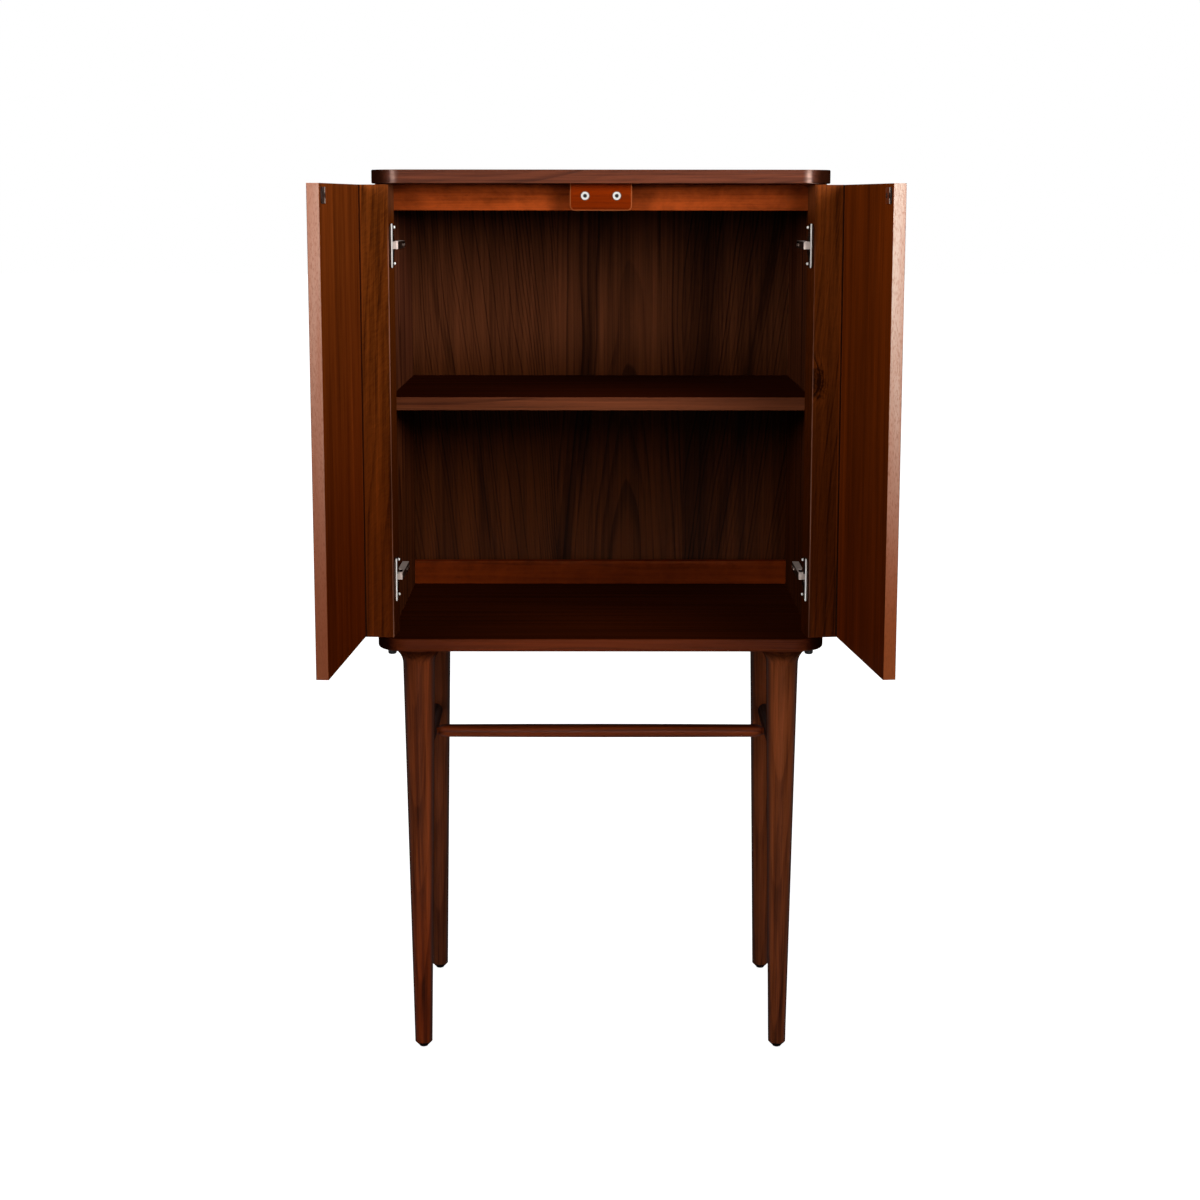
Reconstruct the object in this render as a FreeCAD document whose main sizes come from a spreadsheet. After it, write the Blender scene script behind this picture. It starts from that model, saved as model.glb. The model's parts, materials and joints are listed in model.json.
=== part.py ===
import FreeCAD, Part
import math
import os
import Sketcher

# Driving dimensions in millimetres, one cell each, angles in degrees
SIZES = {
    # Carcass
    "cabinet_width": 610,
    "cabinet_depth": 420,
    "corner_radius": 40,
    "panel_thickness": 18,
    "edge_easing": 1.5,
    "under_easing": 4,
    "opening_height": 610,
    "reveal": 2,
    "side_thickness": 16,
    "back_thickness": 5,
    "back_inset": 4,
    "rebate_width": 8,
    "shelf_thickness": 18,
    "shelf_rise": 323,
    "shelf_clearance": 1,
    "shelf_easing": 1,
    "rail_height": 35.5,
    "rail_thickness": 18,
    "rear_rail_height": 36,
    "rear_rail_thickness": 12,
    # Joinery inside the boards
    "dowel_diameter": 8,
    "dowel_in_panel": 12,
    "dowel_in_side": 20,
    "joint_inset": 45,
    "shelf_pin_diameter": 5,
    "shelf_pin_in_side": 9,
    "shelf_pin_out": 8,
    "shelf_pin_front_inset": 50,
    "shelf_pin_back_inset": 60,
    "fit": 0.1,
    "overrun": 5,
    # Bolts from below into the side panels
    "bolt_diameter": 6,
    "bolt_in_side": 34,
    "bolt_head_diameter": 11,
    "bolt_head_height": 4.5,
    "bolt_front_inset": 22,
    "bolt_back_inset": 32,
    # Legs
    "leg_height": 584,
    "leg_side_inset": 54,
    "leg_front_inset": 52,
    "leg_back_inset": 71,
    "leg_top_diameter": 44,
    "leg_flare_diameter": 77,
    "leg_flare_height": 26,
    "leg_flare_curve": 25,
    "leg_flare_edge": 3,
    "leg_foot_diameter": 24.5,
    "leg_foot_chamfer": 5.3,
    "leg_foot_chamfer_height": 5.5,
    "hanger_diameter": 8,
    "hanger_in_panel": 13,
    "hanger_in_leg": 30,
    "glide_diameter": 12,
    "glide_height": 2,
    "glide_pin_diameter": 5,
    "glide_pin_length": 12,
    "glide_easing": 0.8,
    # Black studs under the bottom panel's front corners
    "stud_diameter": 11.7,
    "stud_height": 7,
    "stud_easing": 2.5,
    "stud_pin_diameter": 5,
    "stud_pin_length": 10,
    "stud_side_inset": 20.5,
    "stud_front_inset": 22,
    # Stretchers
    "stretcher_rise": 421,
    "side_stretcher_diameter": 24,
    "side_stretcher_shoulder_diameter": 22,
    "cross_stretcher_diameter": 19.8,
    "cross_stretcher_shoulder_diameter": 18.6,
    "tenon_diameter": 12,
    "tenon_in_leg": 11,
    "tenon_in_stretcher": 7,
    "stretcher_taper": 14,
    # Catch block and catches
    "catch_block_width": 82.4,
    "catch_block_gap": 3.5,
    "catch_block_corner": 6.5,
    "catch_block_chamfer": 1.5,
    "catch_diameter": 12.5,
    "catch_spacing": 42,
    "catch_drop": 16,
    "catch_in_block": 9,
    "catch_out": 1.2,
    "catch_rim": 1.6,
    "catch_recess": 0.6,
    # Doors
    "door_thickness": 16,
    "post_width": 51,
    "post_depth": 55,
    "post_back_radius": 6,
    "post_gap": 3.3,
    "door_end_gap": 1.5,
    "meeting_gap": 3,
    "tongue_thickness": 5,
    "tongue_length": 10,
    "left_open_angle": 93.9,
    "right_open_angle": 96.5,
    "strike_width": 26,
    "strike_height": 20,
    "strike_thickness": 1.5,
    "strike_corner": 3,
    "strike_screw_length": 11,
    "strike_screw_spread": 14,
    # Cup hinges
    "lower_hinge_inset": 78,
    "upper_hinge_inset": 80,
    "pin_side": 12.2,
    "pin_depth": 13.5,
    "pin_diameter": 3.6,
    "pin_length": 20,
    "pin_fit": 0.05,
    "cup_side": 24.6,
    "cup_diameter": 35,
    "cup_depth": 18.2,
    "cup_wall": 1.2,
    "cup_shallow_depth": 8,
    "slot_left": 3.5,
    "slot_right": 26.5,
    "slot_clearance": 0.3,
    "flange_thickness": 1.2,
    "flange_height": 58,
    "flange_width": 31,
    "flange_offset": 6.5,
    "flange_corner": 6,
    "rib_offset": 2.4,
    "rib_width": 2.5,
    "rib_height": 1.4,
    "cup_screw_offset": -4.4,
    "cup_screw_spread": 48,
    "arm_width": 10,
    "eye_radius": 3.2,
    "arm_bar_top": 1.2,
    "arm_reach": 18.5,
    "arm_thickness": 2.2,
    "arm_bend": 1.6,
    "arm_front_wing": 24,
    "arm_end": 82,
    "arm_wing_depth": 7,
    "arm_wing_thickness": 1.5,
    "plate_thickness": 3,
    "plate_front": 30,
    "plate_end": 78,
    "plate_width": 16,
    "plate_wing_front": 42,
    "plate_wing_end": 62,
    "plate_wing_height": 48,
    "plate_corner": 4,
    "plate_screw_spread": 32,
    "ridge_clearance": 0.1,
    "arm_screw_front": 50,
    "arm_screw_back": 68,
    "arm_screw_diameter": 4,
    "arm_screw_head_diameter": 7,
    "arm_screw_head_height": 1.8,
    "arm_screw_length": 12,
    # Wood screws with sunk heads
    "screw_diameter": 3.5,
    "screw_head_diameter": 7,
    "screw_head_height": 2.2,
    "screw_length": 15,
}

# Part of a stretcher's taper that its end keeps as a plain round tenon outside the leg
TENON_SHOW_SHARE = 0.12

doc = FreeCAD.newDocument("StorageCabinet")
sheet = doc.addObject("Spreadsheet::Sheet", "Sizes")
for row, (alias, number) in enumerate(SIZES.items(), start=1):
    sheet.set(f"A{row}", str(number))
    sheet.setAlias(f"A{row}", alias)
doc.recompute()


class Size:
    """A length or angle: its number draws the first shape, its text binds it to the sheet."""

    def __init__(self, value, text):
        self.value = value
        self.text = text

    def __add__(self, other):
        other = as_size(other)
        return Size(self.value + other.value, f"({self.text} + {other.text})")

    def __sub__(self, other):
        other = as_size(other)
        return Size(self.value - other.value, f"({self.text} - {other.text})")

    def __mul__(self, other):
        other = as_size(other)
        return Size(self.value * other.value, f"({self.text} * {other.text})")

    def __truediv__(self, other):
        other = as_size(other)
        return Size(self.value / other.value, f"({self.text} / {other.text})")

    def __neg__(self):
        return Size(-self.value, f"(-1 * {self.text})")

    def sine(self):
        return Size(math.sin(math.radians(self.value)), f"sin({self.text})")

    def cosine(self):
        return Size(math.cos(math.radians(self.value)), f"cos({self.text})")


def as_size(number):
    return number if isinstance(number, Size) else Size(number, f"({number})")


class Sheet:
    """The sheet's cells as sizes, by name."""

    def __getattr__(self, name):
        return Size(SIZES[name], f"Sizes.{name}")


s = Sheet()
ZERO = as_size(0)
LEFT, RIGHT = -1, 1
SIDES = {"left": LEFT, "right": RIGHT}

# Places that several pieces share, in the carcass's own frame: Y runs back from the front edge
half_width = s.cabinet_width / 2
side_outer = half_width - s.reveal
side_inner = side_outer - s.side_thickness
post_back = s.reveal + s.post_depth
side_front = post_back + s.post_gap
back_front = s.cabinet_depth - s.back_inset - s.back_thickness
door_inner_face = s.reveal + s.door_thickness
floor_top = s.leg_height + s.panel_thickness
ceiling = floor_top + s.opening_height
pin_across = side_outer - s.pin_side
pin_back = post_back - s.pin_depth
door_bottom = floor_top + s.door_end_gap
door_height = s.opening_height - s.door_end_gap * 2
hinge_rises = {"lower": s.lower_hinge_inset, "upper": door_height - s.upper_hinge_inset}
cup_across = s.cup_side - s.pin_side
front_leg_back = s.leg_front_inset
rear_leg_back = s.cabinet_depth - s.leg_back_inset
leg_across = half_width - s.leg_side_inset
block_front = door_inner_face + s.catch_block_gap
catch_rise = ceiling - s.catch_drop

# Closed doors, from the pin's axis: X towards the cabinet's middle, Y back
front_face = s.reveal - pin_back
inner_face = front_face + s.door_thickness
free_edge = pin_across - s.meeting_gap / 2

# The origin lies below the middle of the whole object, from the open doors' free edges to the back
open_reach = free_edge * s.left_open_angle.sine() - inner_face * s.left_open_angle.cosine()
front_edge = (open_reach - pin_back - s.cabinet_depth) / 2

pieces = {}


def vector(x, y, z=0):
    return FreeCAD.Vector(x, y, z)


def place(piece, x, y, z):
    """Bind the place of a piece that stands square to the carcass."""
    piece.setExpression("Placement.Base.x", as_size(x).text)
    piece.setExpression("Placement.Base.y", (as_size(y) + front_edge).text)
    piece.setExpression("Placement.Base.z", as_size(z).text)


def place_on_door(piece, side, z=ZERO):
    """Bind a piece drawn from the closed door's pin axis to the door as it stands open."""
    open_angle = s.left_open_angle if side == LEFT else s.right_open_angle
    turn = FreeCAD.Rotation(vector(0, 0, side), open_angle.value)
    piece.Placement = FreeCAD.Placement(vector(0, 0), turn)
    place(piece, pin_across * side, pin_back, z)
    piece.setExpression("Placement.Rotation.Angle", open_angle.text)


def new_body(label):
    body = doc.addObject("PartDesign::Body", label)
    body.Label = label
    return body


def new_sketch(body, role="XY_Plane", offset=None):
    """A sketch on one of the body's own planes, moved along the plane's normal by offset."""
    sketch = body.newObject("Sketcher::SketchObject", f"{body.Label}_sketch")
    plane = next(f for f in body.Origin.OriginFeatures if f.Role == role)
    sketch.AttachmentSupport = (plane, [""])
    sketch.MapMode = "FlatFace"
    if offset is not None:
        sketch.setExpression("AttachmentOffset.Base.z", offset.text)
    return sketch


def pin_point(sketch, element, end, x, y):
    for kind, distance in (("DistanceX", as_size(x)), ("DistanceY", as_size(y))):
        rule = Sketcher.Constraint(kind, -1, 1, element, end, distance.value)
        index = sketch.addConstraint(rule)
        sketch.setExpression(f"Constraints[{index}]", distance.text)


def set_radius(sketch, element, radius):
    index = sketch.addConstraint(Sketcher.Constraint("Radius", element, radius.value))
    sketch.setExpression(f"Constraints[{index}]", radius.text)


def arc_between(start, end, radius, bulge):
    """The short arc from start to end, and the ends it has when run counter-clockwise."""
    chord = end - start
    middle = (start + end) / 2
    height = math.sqrt(max(radius**2 - (chord.Length / 2) ** 2, 0))
    across = vector(-chord.y, chord.x).normalize()
    centre = middle - across * height * bulge
    crown = centre + across * radius * bulge
    arc = Part.Arc(start, crown, end)
    first, last = (2, 1) if bulge > 0 else (1, 2)
    return arc, first, last


def draw_outline(sketch, points, arcs=None):
    """A closed outline through points; arcs gives a side's radius and the way it bulges."""
    arcs = arcs or {}
    corners = [vector(as_size(x).value, as_size(y).value) for x, y in points]
    base = sketch.GeometryCount
    ends = []
    for i, corner in enumerate(corners):
        following = corners[(i + 1) % len(corners)]
        first, last = 1, 2
        if i in arcs:
            radius, bulge = arcs[i]
            side, first, last = arc_between(corner, following, radius.value, bulge)
        else:
            side = Part.LineSegment(corner, following)
        sketch.addGeometry(side, False)
        ends.append((first, last))
    for i, point in enumerate(points):
        following = (i + 1) % len(points)
        joint = (base + i, ends[i][1], base + following, ends[following][0])
        sketch.addConstraint(Sketcher.Constraint("Coincident", *joint))
        pin_point(sketch, base + i, ends[i][0], *point)
    for i, (radius, bulge) in arcs.items():
        set_radius(sketch, base + i, radius)


def draw_circle(sketch, x, y, radius):
    centre = vector(as_size(x).value, as_size(y).value)
    element = sketch.addGeometry(Part.Circle(centre, vector(0, 0, 1), radius.value), False)
    pin_point(sketch, element, 3, x, y)
    set_radius(sketch, element, radius)


def rectangle(x0, y0, x1, y1):
    return [(x0, y0), (x1, y0), (x1, y1), (x0, y1)]


def add_feature(body, kind, sketch, length, symmetric, backwards):
    feature = body.newObject(f"PartDesign::{kind}", f"{body.Label}_{kind}")
    feature.Profile = sketch
    feature.SideType = "Symmetric" if symmetric else "One side"
    feature.Reversed = backwards
    feature.setExpression("Length", length.text)
    doc.recompute()
    return feature


def pad(body, sketch, length, symmetric=False, backwards=False):
    before = body.Shape.Volume if body.Tip else 0
    feature = add_feature(body, "Pad", sketch, length, symmetric, backwards)
    if body.Shape.Volume - before < LEAST_VOLUME:
        raise RuntimeError(f"a pad adds nothing to {body.Label}")
    return feature


def pocket(body, sketch, depth, symmetric=False, backwards=False):
    before = body.Shape.Volume
    feature = add_feature(body, "Pocket", sketch, depth, symmetric, backwards)
    if before - body.Shape.Volume < LEAST_VOLUME:
        raise RuntimeError(f"a pocket cuts nothing from {body.Label}")
    return feature


def revolve(body, sketch, axis="V_Axis"):
    feature = body.newObject("PartDesign::Revolution", f"{body.Label}_turning")
    feature.Profile = sketch
    feature.ReferenceAxis = (sketch, [axis])
    doc.recompute()
    return feature


def dress(body, kind, size, wanted):
    """Round or chamfer the edges of the body so far that wanted picks."""
    names = [f"Edge{i}" for i, edge in enumerate(body.Shape.Edges, start=1) if wanted(edge)]
    base = body.Tip
    feature = body.newObject(f"PartDesign::{kind}", f"{body.Label}_{kind}")
    feature.Base = (base, names)
    feature.setExpression("Radius" if kind == "Fillet" else "Size", size.text)
    doc.recompute()
    return feature


def upright_at(x=None, y=None):
    """Picks edges that run along Z at the given place."""

    def wanted(edge):
        box = edge.BoundBox
        level = box.XLength + box.YLength < box.ZLength * LOOSE_SHARE
        there = x is None or abs(box.Center.x - as_size(x).value) < NEAR
        return level and there and (y is None or abs(box.Center.y - as_size(y).value) < NEAR)

    return wanted


def flat_at(*heights):
    """Picks edges that lie at one of the given heights."""

    def wanted(edge):
        box = edge.BoundBox
        return any(abs(box.ZMin - z.value) + abs(box.ZMax - z.value) < NEAR for z in heights)

    return wanted


# How close an edge lies to the place it is looked for, how little an upright one leans, and the
# least volume that a real pad or pocket changes
NEAR = s.fit.value / 2
LOOSE_SHARE = 0.001
LEAST_VOLUME = s.fit.value**3


def copies(label, master, spots):
    """One node of equal solids: a link to the master at each (x, y, z, turn)."""
    links = []
    for x, y, z, turn in spots:
        link = doc.addObject("App::Link", f"{label}_copy")
        link.LinkedObject = master
        link.Placement = FreeCAD.Placement(vector(0, 0), turn)
        for axis, distance in (("x", x), ("y", y), ("z", z)):
            link.setExpression(f"Placement.Base.{axis}", as_size(distance).text)
        links.append(link)
    group = doc.addObject("Part::Compound", label)
    group.Label = label
    group.Links = links
    doc.recompute()
    return group


def keep(piece):
    pieces[piece.Label] = piece
    return piece


UPRIGHT = FreeCAD.Rotation()
FACING_FRONT = FreeCAD.Rotation(vector(1, 0, 0), 90)
FACING_BACK = FreeCAD.Rotation(vector(1, 0, 0), -90)
FACING_LEFT = FreeCAD.Rotation(vector(0, 1, 0), -90)
FACING_RIGHT = FreeCAD.Rotation(vector(0, 1, 0), 90)
FACING_DOWN = FreeCAD.Rotation(vector(1, 0, 0), 180)

leg_places = [
    (leg_across * side, back) for back in (front_leg_back, rear_leg_back) for side in (LEFT, RIGHT)
]
bolt_backs = (side_front + s.bolt_front_inset, s.cabinet_depth - s.bolt_back_inset)
dowel_backs = (side_front + s.joint_inset, s.cabinet_depth - s.joint_inset)
side_middle = side_inner + s.side_thickness / 2
stud_places = [((half_width - s.stud_side_inset) * side, s.stud_front_inset) for side in (LEFT, RIGHT)]


# Top and bottom panels
def flat_panel(label, under_easing):
    """A board with two round front corners and eased edges."""
    body = new_body(label)
    sketch = new_sketch(body)
    draw_outline(sketch, rectangle(-half_width, ZERO, half_width, s.cabinet_depth))
    pad(body, sketch, s.panel_thickness)
    dress(body, "Fillet", s.corner_radius, upright_at(y=0))
    dress(body, "Fillet", s.edge_easing, flat_at(s.panel_thickness))
    dress(body, "Fillet", under_easing, flat_at(ZERO))
    return body


def drill_up(body, spots, radius, depth):
    """Holes that start at the body's own ground plane and go up."""
    sketch = new_sketch(body)
    for x, y in spots:
        draw_circle(sketch, x, y, radius)
    pocket(body, sketch, depth, backwards=True)


def top_panel():
    body = flat_panel("top_panel", s.edge_easing)
    spots = [(side_middle * side, back) for side in (LEFT, RIGHT) for back in dowel_backs]
    drill_up(body, spots, s.dowel_diameter / 2 + s.fit, s.dowel_in_panel + s.fit)
    place(body, ZERO, ZERO, ceiling)
    return keep(body)


def bottom_panel():
    body = flat_panel("bottom_panel", s.under_easing)
    drill_up(body, leg_places, s.hanger_diameter / 2 + s.fit, s.hanger_in_panel + s.fit)
    spots = [(side_middle * side, back) for side in (LEFT, RIGHT) for back in bolt_backs]
    drill_up(body, spots, s.bolt_diameter / 2 + s.fit, s.panel_thickness + s.overrun)
    drill_up(body, stud_places, s.stud_pin_diameter / 2 + s.fit, s.stud_pin_length + s.fit)
    place(body, ZERO, ZERO, s.leg_height)
    return keep(body)


# Side panels, with a rebate for the back and holes for dowels, bolts, shelf pins and plates
shelf_pin_rise = s.shelf_rise - s.shelf_thickness - s.shelf_pin_diameter / 2
shelf_pin_backs = (side_front + s.shelf_pin_front_inset, back_front - s.shelf_pin_back_inset)
plate_screw_back = pin_back + (s.plate_wing_front + s.plate_wing_end) / 2


def side_panel(name, side):
    body = new_body(f"{name}_side_panel")
    sketch = new_sketch(body)
    rebated = side_inner + s.rebate_width
    points = [
        (side_outer * side, side_front),
        (side_outer * side, s.cabinet_depth),
        (rebated * side, s.cabinet_depth),
        (rebated * side, back_front),
        (side_inner * side, back_front),
        (side_inner * side, side_front),
    ]
    draw_outline(sketch, points)
    pad(body, sketch, s.opening_height)
    dress(body, "Fillet", s.shelf_easing, upright_at(y=side_front))
    spots = [(side_middle * side, back) for back in bolt_backs]
    drill_up(body, spots, s.bolt_diameter / 2 + s.fit, s.bolt_in_side + s.fit)
    sketch = new_sketch(body, offset=s.opening_height)
    for back in dowel_backs:
        draw_circle(sketch, side_middle * side, back, s.dowel_diameter / 2 + s.fit)
    pocket(body, sketch, s.dowel_in_side + s.fit)
    drill_sideways(body, side, shelf_pin_backs, [shelf_pin_rise], s.shelf_pin_diameter / 2,
                   s.shelf_pin_in_side)
    screw_rises = []
    for rise in hinge_rises.values():
        for end in (LEFT, RIGHT):
            screw_rises.append(rise + s.door_end_gap + s.plate_screw_spread / 2 * end)
    plate_screw_depth = s.screw_length - s.plate_thickness
    drill_sideways(body, side, [plate_screw_back], screw_rises, s.screw_diameter / 2,
                   plate_screw_depth)
    place(body, ZERO, ZERO, floor_top)
    return keep(body)


def drill_sideways(body, side, backs, rises, radius, depth):
    """Round holes from the inner face of a side panel outwards."""
    sketch = new_sketch(body, "YZ_Plane", side_inner * side)
    for back in backs:
        for rise in rises:
            draw_circle(sketch, back, rise, radius + s.fit)
    pocket(body, sketch, depth + s.fit, backwards=side == RIGHT)


# Back, shelf and rails
def board(label, points, thickness, x=ZERO, y=ZERO, z=ZERO):
    """A plain board drawn in plan."""
    body = new_body(label)
    sketch = new_sketch(body)
    draw_outline(sketch, points)
    pad(body, sketch, thickness)
    place(body, x, y, z)
    return keep(body)


def back_panel():
    half = side_inner + s.rebate_width
    points = rectangle(-half, ZERO, half, s.back_thickness)
    return board("back_panel", points, s.opening_height, y=back_front, z=floor_top)


def shelf():
    half = side_inner - s.shelf_clearance
    depth = back_front - side_front - s.shelf_clearance
    points = rectangle(-half, ZERO, half, depth)
    rise = floor_top + s.shelf_rise - s.shelf_thickness
    body = board("shelf", points, s.shelf_thickness, y=side_front, z=rise)
    ease_front(body)
    return body


def ease_front(body):
    """Round the long front edges of a board a little."""

    def wanted(edge):
        box = edge.BoundBox
        return box.YMax < NEAR and box.XLength > box.ZLength

    dress(body, "Fillet", s.shelf_easing, wanted)


def rail(label, thickness, height, y, z):
    points = rectangle(-side_inner, ZERO, side_inner, thickness)
    body = board(label, points, height, y=y, z=z)
    ease_front(body)
    return body


def rails():
    rear = back_front - s.rear_rail_thickness
    rail("front_top_rail", s.rail_thickness, s.rail_height, side_front, ceiling - s.rail_height)
    rail("rear_top_rail", s.rear_rail_thickness, s.rear_rail_height, rear,
         ceiling - s.rear_rail_height)
    rail("rear_bottom_rail", s.rear_rail_thickness, s.rear_rail_height, rear, floor_top)


def shelf_pins():
    """Plain round pins, half in the side panel and half under the shelf."""
    length = s.shelf_pin_in_side + s.shelf_pin_out
    master = turned_master("shelf_pin_master", [(ZERO, ZERO), (s.shelf_pin_diameter / 2, ZERO),
                                                (s.shelf_pin_diameter / 2, length), (ZERO, length)])
    spots = []
    for side in (LEFT, RIGHT):
        turn = FACING_RIGHT if side == LEFT else FACING_LEFT
        for back in shelf_pin_backs:
            spots.append(((side_inner + s.shelf_pin_in_side) * side, back, shelf_pin_rise, turn))
    group = copies("shelf_pins", master, spots)
    place(group, ZERO, ZERO, floor_top)
    return keep(group)


# Turned pieces and fasteners
def turned_master(label, points, arcs=None):
    """A solid of revolution about its own Z axis."""
    body = new_body(label)
    sketch = new_sketch(body, "XZ_Plane")
    draw_outline(sketch, points, arcs)
    revolve(body, sketch)
    return body


def sunk_screw(label, length, head_height):
    """A wood screw with a sunk head, its top at Z 0 and its shank below."""
    shank = s.screw_diameter / 2
    head = s.screw_head_diameter / 2
    points = [(ZERO, ZERO), (head, ZERO), (shank, -head_height), (shank, -length),
              (ZERO, -length)]
    return turned_master(label, points)


def panel_dowels():
    length = s.dowel_in_panel + s.dowel_in_side
    radius = s.dowel_diameter / 2
    master = turned_master("dowel_master", [(ZERO, ZERO), (radius, ZERO), (radius, length),
                                            (ZERO, length)])
    low = ceiling - s.dowel_in_side
    spots = [(side_middle * side, back, low, UPRIGHT)
             for side in (LEFT, RIGHT) for back in dowel_backs]
    group = copies("panel_dowels", master, spots)
    place(group, ZERO, ZERO, ZERO)
    return keep(group)


def side_bolts():
    """Bolts up through the bottom panel into the side panels, their heads left below it."""
    head = s.bolt_head_diameter / 2
    shank = s.bolt_diameter / 2
    length = s.panel_thickness + s.bolt_in_side
    points = [(ZERO, -s.bolt_head_height), (head, -s.bolt_head_height), (head, ZERO),
              (shank, ZERO), (shank, length), (ZERO, length)]
    master = turned_master("bolt_master", points)
    dress(master, "Fillet", s.glide_easing, flat_at(-s.bolt_head_height))
    spots = [(side_middle * side, back, s.leg_height, UPRIGHT)
             for side in (LEFT, RIGHT) for back in bolt_backs]
    group = copies("side_bolts", master, spots)
    place(group, ZERO, ZERO, ZERO)
    return keep(group)


def corner_studs():
    """Round black studs pressed into the bottom panel outside the front legs."""
    radius = s.stud_diameter / 2
    pin = s.stud_pin_diameter / 2
    points = [(ZERO, -s.stud_height), (radius, -s.stud_height), (radius, ZERO), (pin, ZERO),
              (pin, s.stud_pin_length), (ZERO, s.stud_pin_length)]
    master = turned_master("stud_master", points)
    dress(master, "Fillet", s.stud_easing, flat_at(-s.stud_height))
    group = copies("corner_studs", master, [(x, y, s.leg_height, UPRIGHT) for x, y in stud_places])
    place(group, ZERO, ZERO, ZERO)
    return keep(group)


# Legs: a long straight taper with a trumpet at the top and a chamfered foot
leg_low = s.glide_height
taper_low = leg_low + s.leg_foot_chamfer_height
taper_high = s.leg_height - s.leg_flare_height
leg_slope = (s.leg_top_diameter - s.leg_foot_diameter) / 2 / (taper_high - taper_low)
leg_radius_there = s.leg_foot_diameter / 2 + leg_slope * (s.stretcher_rise - taper_low)


def leg(label, x, y, faces_back):
    body = new_body(label)
    sketch = new_sketch(body, "XZ_Plane")
    foot = s.leg_foot_diameter / 2
    points = [
        (ZERO, leg_low),
        (foot - s.leg_foot_chamfer, leg_low),
        (foot, taper_low),
        (s.leg_top_diameter / 2, taper_high),
        (s.leg_flare_diameter / 2, s.leg_height - s.leg_flare_edge),
        (s.leg_flare_diameter / 2, s.leg_height),
        (ZERO, s.leg_height),
    ]
    draw_outline(sketch, points, {3: (s.leg_flare_curve, 1)})
    revolve(body, sketch)
    bore_end(body, s.leg_height, s.hanger_diameter / 2 + s.fit, s.hanger_in_leg + s.fit, False)
    bore_end(body, leg_low, s.glide_pin_diameter / 2 + s.fit, s.glide_pin_length + s.fit, True)
    reach = leg_radius_there + s.overrun
    sketch = new_sketch(body, "XZ_Plane", -reach if faces_back else reach)
    draw_circle(sketch, ZERO, s.stretcher_rise, s.tenon_diameter / 2 + s.fit)
    depth = s.overrun + s.tenon_in_leg + s.fit
    pocket(body, sketch, depth, backwards=faces_back)
    place(body, x, y, ZERO)
    return keep(body)


def bore_end(body, height, radius, depth, upwards):
    """A round hole in the end of a turned piece."""
    sketch = new_sketch(body, offset=height)
    draw_circle(sketch, ZERO, ZERO, radius)
    pocket(body, sketch, depth, backwards=upwards)


def legs():
    names = ("front_left_leg", "front_right_leg", "rear_left_leg", "rear_right_leg")
    for name, (x, y) in zip(names, leg_places):
        leg(name, x, y, faces_back=y is front_leg_back)


def leg_glides():
    """Round glides with a pin up into the foot."""
    radius = s.glide_diameter / 2
    pin = s.glide_pin_diameter / 2
    top = s.glide_height + s.glide_pin_length
    points = [(ZERO, ZERO), (radius, ZERO), (radius, s.glide_height), (pin, s.glide_height),
              (pin, top), (ZERO, top)]
    master = turned_master("glide_master", points)
    dress(master, "Fillet", s.glide_easing, flat_at(ZERO))
    group = copies("leg_glides", master, [(x, y, ZERO, UPRIGHT) for x, y in leg_places])
    place(group, ZERO, ZERO, ZERO)
    return keep(group)


def leg_hanger_bolts():
    radius = s.hanger_diameter / 2
    length = s.hanger_in_leg + s.hanger_in_panel
    master = turned_master("hanger_master", [(ZERO, ZERO), (radius, ZERO), (radius, length),
                                             (ZERO, length)])
    low = s.leg_height - s.hanger_in_leg
    group = copies("leg_hanger_bolts", master, [(x, y, low, UPRIGHT) for x, y in leg_places])
    place(group, ZERO, ZERO, ZERO)
    return keep(group)


# Stretchers: thick in the middle, gently bowed, with a quick rounded taper to each tenon
def stretcher(label, half_free, tenon, diameter, shoulder_diameter, across):
    """A bowed round bar; half_free is half the length that shows, along X or Y."""
    body = new_body(label)
    sketch = new_sketch(body)
    end = half_free + tenon
    shoulder = half_free - s.stretcher_taper
    tip = half_free - s.stretcher_taper * TENON_SHOW_SHARE
    small = s.tenon_diameter / 2
    high = shoulder_diameter / 2
    rise = (diameter - shoulder_diameter) / 2
    bow = (shoulder * shoulder + rise * rise) / (rise * 2)
    run = shoulder - tip
    drop = high - small
    rounding = (run * run + drop * drop) / (drop * 2)
    places = [(-end, ZERO), (-end, small), (-tip, small), (-shoulder, high),
              (shoulder, high), (tip, small), (end, small), (end, ZERO)]
    if not across:
        places = [(y, x) for x, y in places]
    turn = 1 if across else -1
    draw_outline(sketch, places, {2: (rounding, turn), 3: (bow, turn), 4: (rounding, turn)})
    revolve(body, sketch, "H_Axis" if across else "V_Axis")
    return body


def stretchers():
    half_free = (rear_leg_back - front_leg_back) / 2 - leg_radius_there
    middle = (rear_leg_back + front_leg_back) / 2
    tenon_hole = s.tenon_diameter / 2 + s.fit
    for name, side in SIDES.items():
        bar = stretcher(f"{name}_side_stretcher", half_free, s.tenon_in_leg,
                        s.side_stretcher_diameter, s.side_stretcher_shoulder_diameter, False)
        reach = s.side_stretcher_diameter / 2 + s.overrun
        sketch = new_sketch(bar, "YZ_Plane", -reach * side)
        draw_circle(sketch, ZERO, ZERO, tenon_hole)
        depth = s.overrun + s.tenon_in_stretcher + s.fit
        pocket(bar, sketch, depth, backwards=side == RIGHT)
        place(bar, leg_across * side, middle, s.stretcher_rise)
        keep(bar)
    half_free = leg_across - s.side_stretcher_diameter / 2
    bar = stretcher("cross_stretcher", half_free, s.tenon_in_stretcher,
                    s.cross_stretcher_diameter, s.cross_stretcher_shoulder_diameter, True)
    place(bar, ZERO, middle, s.stretcher_rise)
    keep(bar)


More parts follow.
